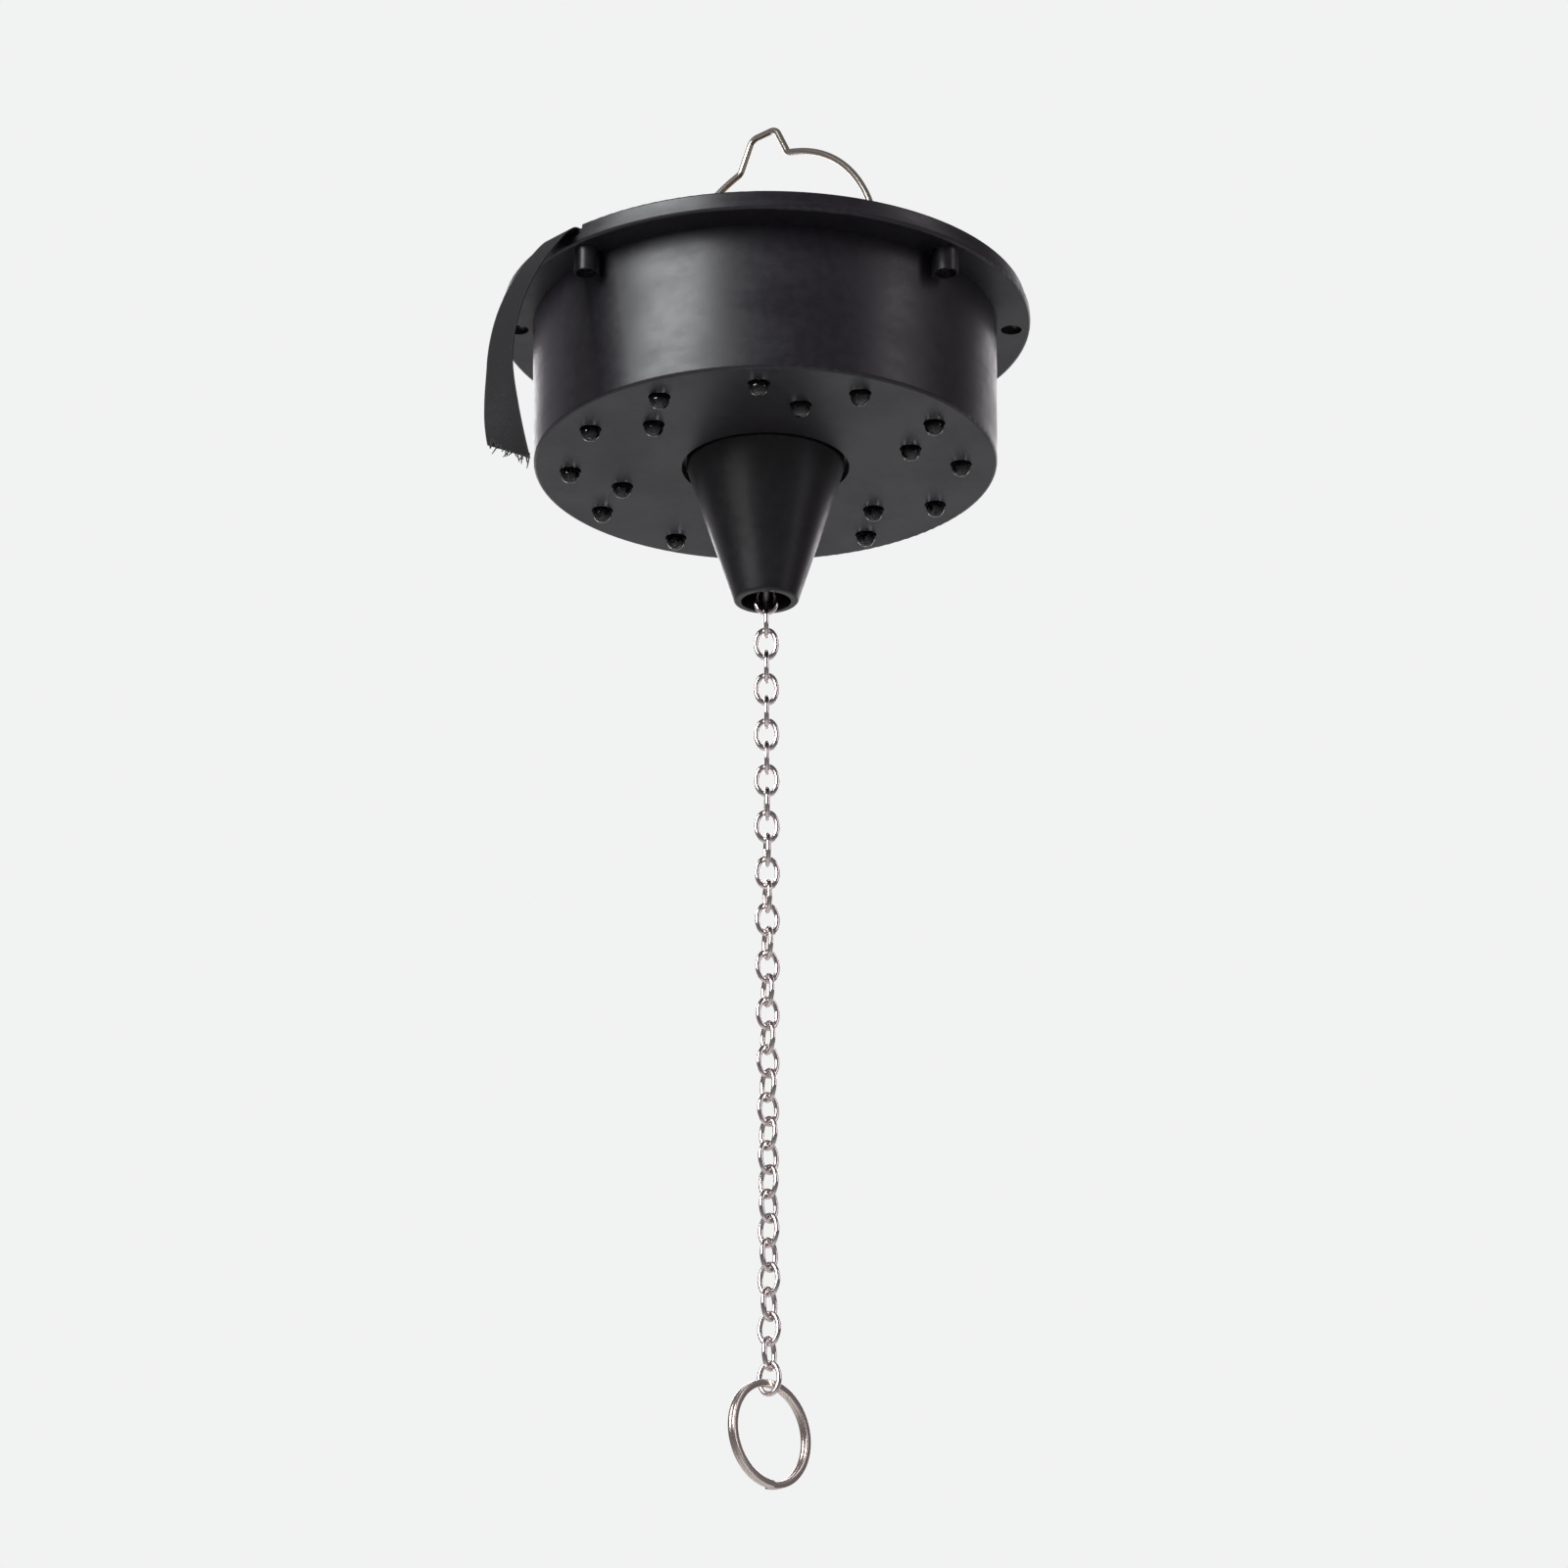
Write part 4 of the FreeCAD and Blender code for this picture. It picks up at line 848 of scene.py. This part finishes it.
@dataclass
class Casing(SubAssembly):
    """The can, its cover and the screws, switch and hanger on them."""

    def build(self) -> None:
        """Dresses the moulded shells and the parts fixed to them."""
        self.finish_nodes({
            Finishes.CAN: ("housing",),
            Finishes.COVER: ("cover",),
            Finishes.SCREWS: ("cover_screws",),
            Finishes.BAIL: ("bail",),
            Finishes.SWITCH: ("switch_",),
            Finishes.WHITE_ACETAL: ("thrust_washer",),
        })


@dataclass
class DriveTrain(SubAssembly):
    """Motor, gears and the rotor that they turn."""

    def build(self) -> None:
        """Dresses the parts inside the can and the cone below it."""
        self.finish_nodes({
            Finishes.CONE: ("rotor_cone",),
            Finishes.CROSS_PIN: ("cross_pin",),
            Finishes.SPRINGS: ("retaining_clip",),
            Finishes.GREY_ACETAL: ("gearbox",),
            Finishes.SCREWS: ("gearbox_screws", "board_screws"),
            Finishes.WHITE_ACETAL: ("output_gear", "first_gear", "second_gear", "third_gear"),
            Finishes.MOTOR: ("gear_pins", "drive_motor", "motor_shaft"),
            Finishes.BRASS: ("motor_pinion",),
            Finishes.BOARD: ("led_board",),
        })


@dataclass
class Hanging(SubAssembly):
    """The chain and the split ring at its end."""

    ring_radius: float = 13.5
    band: float = 1.7
    coil: float = 1.1
    coil_gap: float = 0.05
    ring_turn: float = 43.5
    corner: float = 0.3
    ring_steps: int = 220

    def wire_section(self) -> bpy.types.Object:
        """The outline of the ring's flat wire with rounded corners, upright, at the ring's own radius."""
        Bench.clear()
        bpy.ops.mesh.primitive_plane_add(size=1, rotation=(math.pi / 2, 0, 0))
        section = bpy.context.object
        section.name = "split_ring_coils"
        section.scale = (self.band * MM, self.coil * MM, 1)
        bpy.ops.object.transform_apply(location=True, rotation=True, scale=True)
        with Bench.shaping():
            bpy.ops.mesh.bevel(offset=self.corner * MM, segments=3, affect="VERTICES")
            bpy.ops.mesh.select_all(action="SELECT")
            bpy.ops.mesh.delete(type="ONLY_FACE")
            bpy.ops.mesh.select_all(action="SELECT")
            bpy.ops.transform.translate(value=((self.ring_radius - self.band / 2) * MM, 0, 0))
        return section

    def split_ring(self) -> bpy.types.Object:
        """Two turns of flat wire, wound from their section, closed at both ends and hung in the last link."""
        ring = self.wire_section()
        pitch = (self.coil + self.coil_gap) * MM
        Bench.apply(ring, "SCREW", angle=2 * math.tau, screw_offset=2 * pitch, steps=self.ring_steps,
                    render_steps=self.ring_steps, axis="Z", use_normal_calculate=True)
        with Bench.shaping():
            bpy.ops.mesh.fill_holes(sides=0)
            bpy.ops.mesh.select_all(action="SELECT")
            bpy.ops.mesh.normals_make_consistent(inside=False)
        low, high = (Vector(corner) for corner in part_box("split_ring"))
        centre = Vector((0, 0, (low.z + high.z) / 2))
        upright = Matrix.Rotation(math.pi / 2, 4, "X") @ Matrix.Rotation(-math.pi / 2, 4, "Z")
        facing = Matrix.Rotation(math.radians(self.ring_turn), 4, "Z")
        centred = Matrix.Translation((0, 0, -pitch))
        ring.data.transform(Matrix.Translation(centre) @ facing @ upright @ centred)
        Bench.smooth(ring, 50)
        return ring

    def build(self) -> None:
        """Dresses every section of the chain, and winds the ring in place of the plain one."""
        self.finish_nodes({Finishes.CHAIN: ("chain_",)})
        hand_over(self.split_ring(), "split_ring", Finishes.RING, ["split_ring"])


@dataclass
class Lights(SubAssembly):
    """Clear five-millimetre lights in two rings, each a cast lens round a metal lead frame."""

    lens_radius: float = 2.5
    collar_radius: float = 2.9
    collar_height: float = 1.0
    drop: float = 3.35
    seat: float = 5.3
    dome_rings: int = 9
    lead_side: float = 0.5
    lead_gap: float = 1.27
    board_thickness: float = 1.6
    lead_rise: float = 1.3
    lead_tail: float = 1.0
    lead_bevel: float = 0.04
    anvil_level: float = 1.1
    post_level: float = 0.3
    above_end: float = 0.1
    rings: dict[Rings, tuple[float, int]] = field(
        default_factory=lambda: {Rings.OUTER: (51.0, 12), Rings.INNER: (39.3, 6)})
    starts: dict[Rings, float] = field(default_factory=lambda: {Rings.OUTER: -2.3, Rings.INNER: 42.7})

    def places(self, ring: Rings) -> list[Matrix]:
        """Where a ring's lights stand.

        Args:
            ring: Which ring.

        Returns:
            A place for each light, on the can's bottom face, turned with the ring.
        """
        radius, count = self.rings[ring]
        made = []
        for number in range(count):
            turn = math.radians(self.starts[ring] + 360 * number / count)
            spot = Vector((radius * math.cos(turn), radius * math.sin(turn), self.level(0))) * MM
            made.append(Matrix.Translation(spot) @ Matrix.Rotation(turn, 4, "Z"))
        return made

    def lens(self) -> bpy.types.Object:
        """One lens: a collar, a barrel and a dome that looks down."""
        centre = self.lens_radius - self.drop
        rim = self.seat - self.collar_height
        collar, soft = self.collar_radius, 0.12
        outline = [(collar - 0.15, self.seat), (collar, self.seat - soft), (collar, rim + soft),
                   (collar - soft, rim), (self.lens_radius, rim), (self.lens_radius, centre + 0.6),
                   (self.lens_radius, centre)]
        for step in range(1, self.dome_rings + 1):
            angle = math.pi / 2 * step / (self.dome_rings + 0.35)
            outline.append((self.lens_radius * math.cos(angle), centre - self.lens_radius * math.sin(angle)))
        return Bench.turned("lens", outline, 36)

    def lead(self, name: str, out: float, low: float, half: float, high: float) -> bpy.types.Object:
        """One straight lead.

        Args:
            name: Its name.
            out: Its distance from the light's axis.
            low: Its lower end.
            half: Half of its side.
            high: Its upper end.

        Returns:
            The lead.
        """
        return Bench.block(name, (out - half, -half, low), (out + half, half, high), self.lead_bevel)

    def lead_frame_painted_shade(self) -> bpy.types.Object:
        """One lead frame: a post with a flared anvil and its cup, and a thinner post beside it."""
        half, top = self.lead_side / 2, self.seat + self.board_thickness + self.lead_tail
        cup = self.lead("anvil", -self.lead_gap, self.anvil_level, half, top)
        with Bench.shaping():
            Bench.select(cup, lambda vert: vert.co.z < (self.anvil_level + self.above_end) * MM)
            bpy.ops.mesh.extrude_region_move(TRANSFORM_OT_translate={"value": (0.6 * MM, 0, -0.5 * MM)})
            bpy.ops.transform.resize(value=(1.9, 1.8, 1))
            bpy.ops.mesh.extrude_region_move(TRANSFORM_OT_translate={"value": (0.15 * MM, 0, -0.4 * MM)})
        post = self.lead("post", self.lead_gap, self.post_level, half, top)
        with Bench.shaping():
            Bench.select(post, lambda vert: vert.co.z < (self.post_level + self.above_end) * MM)
            bpy.ops.mesh.extrude_region_move(TRANSFORM_OT_translate={"value": (-0.35 * MM, 0, -0.35 * MM)})
        dish = Bench.turned("dish", [(0.55, 0.28), (0.62, 0.2), (0.85, -0.15), (0.88, -0.22), (0.8, -0.22),
                                     (0.5, 0.08), (0.2, 0.1)], 20)
        dish.data.transform(Matrix.Translation((-0.35 * MM, 0, 0.05 * MM)))
        frame = Bench.join("lead_frame_painted_shade", [cup, post, dish])
        frame.data.transform(Matrix.Translation((0, 0, self.lead_rise * MM)))
        Bench.smooth(frame, 30)
        return frame

    def build(self) -> None:
        """Makes both rings' lenses and lead frames, and hides the plain lights of the model."""
        for ring in Rings:
            lenses = Bench.repeat(f"{ring.value}_lenses", self.lens(), self.places(ring))
            hand_over(lenses, "case", Finishes.LENS, [ring.value])
            frames = Bench.repeat(f"{ring.value}_lead_frames", self.lead_frame_painted_shade(), self.places(ring))
            # The lead frames wear the darkened nickel, painted shade inside the lenses.
            hand_over(frames, "case", Finishes.LEAD_FRAME_PAINTED_SHADE)


@dataclass
class Cells(SubAssembly):
    """Four dry cells side by side, and the contacts that link them."""

    radius: float = 7.1
    length: float = 50.5
    pitch: float = 14.6
    axis_level: float = 35.6
    bay_turn: float = 45.0
    spring_room: float = 6.0
    nub: tuple[float, float] = (2.75, 1.0)

    def cell(self) -> bpy.types.Object:
        """One cell standing on its flat end, with its own map of how far along it each point is."""
        nub, nub_height = self.nub
        half = self.length / 2
        top, r = half - nub_height, self.radius
        flat_end = [(4.4, -half), (4.7, -half + 0.12), (5.6, -half + 0.12), (5.9, -half + 0.3),
                    (r - 0.6, -half + 0.3)]
        sleeve = [(r - 0.2, -half + 0.42), (r, -half + 0.8), (r, -half + 1.2), (r, top - 1.0),
                  (r, top - 0.55), (r - 0.2, top - 0.25), (r - 0.7, top - 0.15)]
        nub_end = [(r - 1.3, top - 0.4), (nub + 0.5, top - 0.35), (nub, top - 0.2), (nub, half - 0.2),
                   (nub - 0.2, half)]
        piece = Bench.turned("cell", [*flat_end, *sleeve, *nub_end], 48)
        self.map_length(piece, half * MM, (r - 0.65) * MM)
        return piece

    def map_length(self, piece: bpy.types.Object, half: float, bare_within: float) -> None:
        """Writes the cell's map and which of its points are bare metal.

        Args:
            piece: The cell.
            half: Half of its length.
            bare_within: The radius inside which its ends are bare metal.
        """
        chart = piece.data.uv_layers.active or piece.data.uv_layers.new(name="UVMap")
        bare = piece.data.attributes.new("bare_metal", "FLOAT", "POINT")
        for vert in piece.data.vertices:
            inside = math.hypot(vert.co.x, vert.co.y) < bare_within
            bare.data[vert.index].value = 1.0 if inside else 0.0
        for loop in piece.data.loops:
            place = piece.data.vertices[loop.vertex_index].co
            turn = math.atan2(place.y, place.x) / math.tau + 0.5
            chart.data[loop.index].uv = (turn, (place.z + half) / (2 * half))

    def build(self) -> None:
        """Lays the four cells in their bay, turned end for end, and dresses the contacts."""
        bay = Matrix.Rotation(math.radians(self.bay_turn), 4, "Z")
        for number in range(4):
            way = 1 if number % 2 else -1
            across, along = (number - 1.5) * self.pitch, way * self.spring_room / 2
            place = Vector((across, along, self.level(self.axis_level)))
            lying = Matrix.Rotation(math.radians(-90 * way), 4, "X")
            one = self.cell()
            one.name = f"cell_{number + 1}"
            one.data.transform(bay @ Matrix.Translation(place * MM) @ lying)
            hand_over(one, "case", Finishes.CELL, [f"battery_{number + 1}"])
        self.finish_nodes({Finishes.SPRINGS: ("contact_plates", "contact_springs")})


@dataclass
class BatteryRibbon(SubAssembly):
    """The ribbon that lifts the cells out: under them, up the bay's wall, over the cover and down."""

    width: float = 10.0
    thickness: float = 0.28
    turn: float = 222.0
    bay_floor: float = 27.8
    floor_lift: float = 0.2
    start: float = -22.0
    wall: float = 29.5
    bend: float = 1.2
    channel: float = 44.4
    rim: float = 69.0
    drape: tuple[tuple[float, float], ...] = (
        (77.0, 36.8), (82.4, 28.6), (87.4, 18.0), (90.2, 6.5), (90.6, -4.5), (89.0, -16.0), (87.0, -22.2))
    twist_start: float = 0.86
    twist: float = -32.0
    slant: float = 6.2
    slant_start: float = 0.93
    threads: int = 22
    thread_seed: int = 7
    thread_lean: float = 22.0
    thread_length: tuple[float, float] = (1.2, 3.6)
    thread_tuck: float = 0.3
    cup: float = 0.35
    steps: int = 260
    columns: int = 8

    def route(self) -> list[tuple[float, float]]:
        """Points that steer the ribbon's middle: distance from the can's axis, height above its floor."""
        low, high, wall, bend = self.bay_floor + self.floor_lift, self.channel, self.wall, self.bend
        under_cells = [(self.start, low), (-10, low), (10, low), (wall - bend, low)]
        up_wall = [(wall, low), (wall, low + bend), (wall, 36), (wall, high - bend), (wall, high)]
        over_cover = [(wall + bend, high), (45, high), (60, high), (self.rim - 1, high), (self.rim + 2, high)]
        return [*under_cells, *up_wall, *over_cover, *self.drape]

    def middle_line(self) -> list[Vector]:
        """The ribbon's middle line, evenly spaced, as (out, up) in metres.

        Returns:
            One point more than there are steps.
        """
        curve = bpy.data.curves.new("ribbon_route", "CURVE")
        curve.dimensions = "3D"
        curve.resolution_u = 24
        spline = curve.splines.new("NURBS")
        points = self.route()
        spline.points.add(len(points) - 1)
        for point, (out, up) in zip(spline.points, points):
            point.co = (out * MM, 0, self.level(up) * MM, 1)
        spline.order_u = 3
        spline.use_endpoint_u = True
        holder = bpy.data.objects.new("ribbon_route", curve)
        line = [Vector((vert.co.x, vert.co.z)) for vert in bpy.data.meshes.new_from_object(holder).vertices]
        bpy.data.objects.remove(holder)
        return self.even(line)

    def even(self, line: list[Vector]) -> list[Vector]:
        """Spaces the points of a line evenly.

        Args:
            line: Points along the line.

        Returns:
            Points the same distance apart, the first and last unchanged.
        """
        reach = [0.0]
        for start, end in zip(line, line[1:]):
            reach.append(reach[-1] + (end - start).length)
        made, at = [], 0
        for step in range(self.steps + 1):
            wanted = reach[-1] * step / self.steps
            while at < len(reach) - 2 and reach[at + 1] < wanted:
                at += 1
            share = (wanted - reach[at]) / max(reach[at + 1] - reach[at], 1e-12)
            made.append(line[at].lerp(line[at + 1], min(share, 1.0)))
        return made

    def lay(self, piece: bpy.types.Object, line: list[Vector]) -> None:
        """Moves the flat strip's points on to the route, with its twist and the slight cup across it.

        Args:
            piece: The flat strip, its width along X and length along Y, from 0 to 1 in its map.
            line: The ribbon's middle line.
        """
        outward = Matrix.Rotation(math.radians(self.turn), 3, "Z")
        for vert in piece.data.vertices:
            across, along = vert.co.x, vert.co.y
            step = round(along * self.steps)
            before, after = line[max(step - 1, 0)], line[min(step + 1, self.steps)]
            run = (after - before).normalized()
            share = max(0.0, (along - self.twist_start) / (1 - self.twist_start))
            hang = math.radians(self.twist) * share ** 2 * (3 - 2 * share)
            along_route = Vector((run.x, 0, run.y))
            side = Matrix.Rotation(hang, 3, along_route) @ Vector((0, 1, 0))
            face = side.cross(along_route)
            hollow = self.cup * MM * share ** 0.5 * ((2 * across) ** 2 - 0.35)
            cut = across * self.slant * MM * max(0.0, (along - self.slant_start) / (1 - self.slant_start))
            place = Vector((line[step].x, 0, line[step].y)) + side * (across * self.width * MM)
            vert.co = outward @ (place + face * hollow + along_route * cut)

    def strip(self) -> tuple[bpy.types.Object, float]:
        """The woven strip, a grid laid along the route and given its thickness.

        Returns:
            The strip and its length in metres.
        """
        Bench.clear()
        bpy.ops.mesh.primitive_grid_add(x_subdivisions=self.columns, y_subdivisions=self.steps, size=1,
                                        calc_uvs=True, location=(0, 0.5, 0))
        piece = bpy.context.object
        piece.name = "woven_ribbon"
        bpy.ops.object.transform_apply(location=True, rotation=True, scale=True)
        line = self.middle_line()
        self.lay(piece, line)
        Bench.apply(piece, "SOLIDIFY", thickness=self.thickness * MM, offset=0)
        Bench.smooth(piece, 60)
        length = sum((end - start).length for start, end in zip(line, line[1:]))
        LOG.info("ribbon: %.1f mm long", length / MM)
        return piece, length

    def thread(self) -> bpy.types.Object:
        """One loose thread, one millimetre long, hanging down and bent a little."""
        outline = [(0.19, 0.3), (0.20, 0.0), (0.19, -0.3), (0.18, -0.6), (0.14, -0.85), (0.06, -1.0)]
        piece = Bench.turned("thread", outline, 6)
        for vert in piece.data.vertices:
            vert.co.x += 0.35 * MM * (vert.co.z / MM) ** 2
        return piece

    def frayed_end(self, strip: bpy.types.Object) -> bpy.types.Object:
        """Loose threads along the ribbon's cut end.

        Args:
            strip: The finished strip.

        Returns:
            The threads, as one piece.
        """
        lowest = sorted(strip.data.vertices, key=lambda vert: vert.co.z)
        right = lowest[0].co.copy()
        edge = [vert.co for vert in lowest if (vert.co - right).length < 1.15 * self.width * MM]
        left = max(edge, key=lambda spot: (spot - right).xy.length)
        chance = random.Random(self.thread_seed)
        places = []
        for number in range(self.threads):
            share = (number + chance.uniform(0.1, 0.9)) / self.threads
            spot = left.lerp(right, share) + Vector((0, 0, self.thread_tuck * MM))
            lean = Matrix.Rotation(math.radians(chance.gauss(0, self.thread_lean)), 4, "Y")
            spun = Matrix.Rotation(chance.uniform(0, math.tau), 4, "Z")
            size = Matrix.Diagonal((1, 1, chance.uniform(*self.thread_length), 1))
            places.append(Matrix.Translation(spot) @ lean @ size @ spun)
        return Bench.repeat("ribbon_threads", self.thread(), places)

    def build(self) -> None:
        """Makes the ribbon and its frayed end, and hides the plain one of the model."""
        strip, length = self.strip()
        threads = self.frayed_end(strip)
        hand_over(strip, "case", Finishes.RIBBON, ["battery_ribbon"])
        hand_over(threads, "case", Finishes.THREAD)


# ------------------------------------------------------------------ studio


@dataclass
class Studio:
    """Camera, lights and the pale surroundings. Places are metres."""

    lens: float = 128.22
    camera_place: tuple[float, float, float] = (-0.01212, -1.3277, -0.65312)
    pitch: float = 21.3528
    yaw: float = 0.712
    roll: float = -0.3131
    floor_level: float = -1.45
    floor_radius: float = 14.0
    wash_power: float = 66.0
    wash_side: float = 3.0
    wash_place: tuple[float, float, float] = (0, 4.0, 1.6)
    aim: tuple[float, float, float] = (0, 0, -0.05)
    room_tint: Colour = (1.0, 0.945, 0.985)
    backdrop: Colour = (0.885, 0.887, 0.893)

    def camera(self) -> None:
        """The camera, below the can and looking up at it."""
        made = bpy.data.cameras.new("camera")
        made.lens = self.lens
        made.sensor_width = 36
        made.clip_start = 0.05
        holder = Bench.placed("camera", made)
        pitch, yaw, roll = (math.radians(angle) for angle in (self.pitch, self.yaw, self.roll))
        ahead = Vector((math.sin(yaw) * math.cos(pitch), math.cos(yaw) * math.cos(pitch), math.sin(pitch)))
        level = Vector((math.cos(yaw), -math.sin(yaw), 0))
        raised_thread_highlight = level.cross(ahead)
        right = level * math.cos(roll) + raised_thread_highlight * math.sin(roll)
        upward = raised_thread_highlight * math.cos(roll) - level * math.sin(roll)
        turn = Matrix((right, upward, -ahead)).transposed()
        holder.matrix_world = Matrix.Translation(self.camera_place) @ turn.to_4x4()
        bpy.context.scene.camera = holder

    def softbox(self, name: str, azimuth: float, height: float, away: float, size: tuple[float, float],
                power: float, colour: Colour = (1, 1, 1)) -> None:
        """A softbox that looks at the can.

        Args:
            name: Its name.
            azimuth: Its direction in degrees, from in front of the can towards its left.
            height: Its height above the can's top.
            away: Its distance from the can's axis.
            size: Its width and height.
            power: Its power in watts.
            colour: Its colour.
        """
        made = bpy.data.lights.new(name, "AREA")
        made.shape = "RECTANGLE"
        made.size, made.size_y = size
        made.energy = power
        made.color = colour
        holder = Bench.placed(name, made)
        turn = math.radians(azimuth)
        holder.location = (-away * math.sin(turn), -away * math.cos(turn), height)
        holder.rotation_euler = (holder.location - Vector(self.aim)).to_track_quat("Z", "Y").to_euler()

    def lights(self) -> None:
        """One strong softbox at the left, a weak one at the right and two behind."""
        self.softbox("left_box", 46, 0.45, 1.3, (0.8, 1.0), 25, (0.97, 1.0, 1.0))
        self.softbox("right_box", -66, 0.4, 1.4, (0.35, 1.0), 3, (1.0, 0.93, 1.0))
        self.softbox("back_left", 160, 0.2, 1.8, (0.3, 1.4), 3)
        self.softbox("back_right", -145, 0.2, 1.8, (0.3, 1.4), 3, (1.0, 0.96, 1.0))
        self.wash()

    def wash(self) -> None:
        """A broad light over the floor behind the can, which the can's underside reflects."""
        made = bpy.data.lights.new("floor_wash", "AREA")
        made.shape = "SQUARE"
        made.size = self.wash_side
        made.energy = self.wash_power
        Bench.placed("floor_wash", made).location = self.wash_place

    def surroundings(self) -> None:
        """White surroundings that are brightest behind the object and dim behind the camera."""
        world = bpy.data.worlds.new("white_room")
        world.use_nodes = True
        world.node_tree.nodes.clear()
        tree = Tree(world.node_tree)
        along = tree.add("SeparateXYZ", {0: tree.add("TexCoord").outputs["Generated"]}).outputs["Y"]
        glow = tree.add("MapRange", {"Value": along, "From Min": 0.3, "From Max": 1.0, "To Min": 0.12,
                                     "To Max": 0.7}, interpolation_type="SMOOTHSTEP").outputs["Result"]
        room = tree.add("Background", {"Color": (*self.room_tint, 1), "Strength": glow}).outputs[0]
        seen = tree.add("Background", {"Color": (*self.backdrop, 1), "Strength": 1.0}).outputs[0]
        direct = tree.add("LightPath").outputs["Is Camera Ray"]
        mixed = tree.add("MixShader", {0: direct, 1: room, 2: seen}).outputs[0]
        surface = tree.add("OutputWorld", {"Surface": mixed})
        surface.is_active_output = True
        bpy.context.scene.world = world

    def floor(self) -> None:
        """A wide pale floor well below the ring."""
        Bench.clear()
        bpy.ops.mesh.primitive_circle_add(vertices=96, radius=self.floor_radius, fill_type="NGON",
                                          location=(0, 0, self.floor_level))
        paper = bpy.context.object
        paper.name = "floor"
        dress(paper, Finishes.PAPER)

    def build(self) -> None:
        """Sets the camera, lights, surroundings and floor."""
        self.camera()
        self.lights()
        self.surroundings()
        self.floor()
        bpy.context.scene.view_settings.view_transform = "Standard"
        LOG.info("studio: camera at %s", self.camera_place)


def main() -> None:
    """Builds every sub-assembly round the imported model."""
    logging.basicConfig(level=logging.INFO, format="%(name)s: %(message)s")
    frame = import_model()
    Studio().build()
    for kind in (Casing, DriveTrain, Hanging, Lights, Cells, BatteryRibbon):
        LOG.info("--- %s", kind.__name__)
        kind(frame["nodes"]).build()


if __name__ == "__main__":
    main()
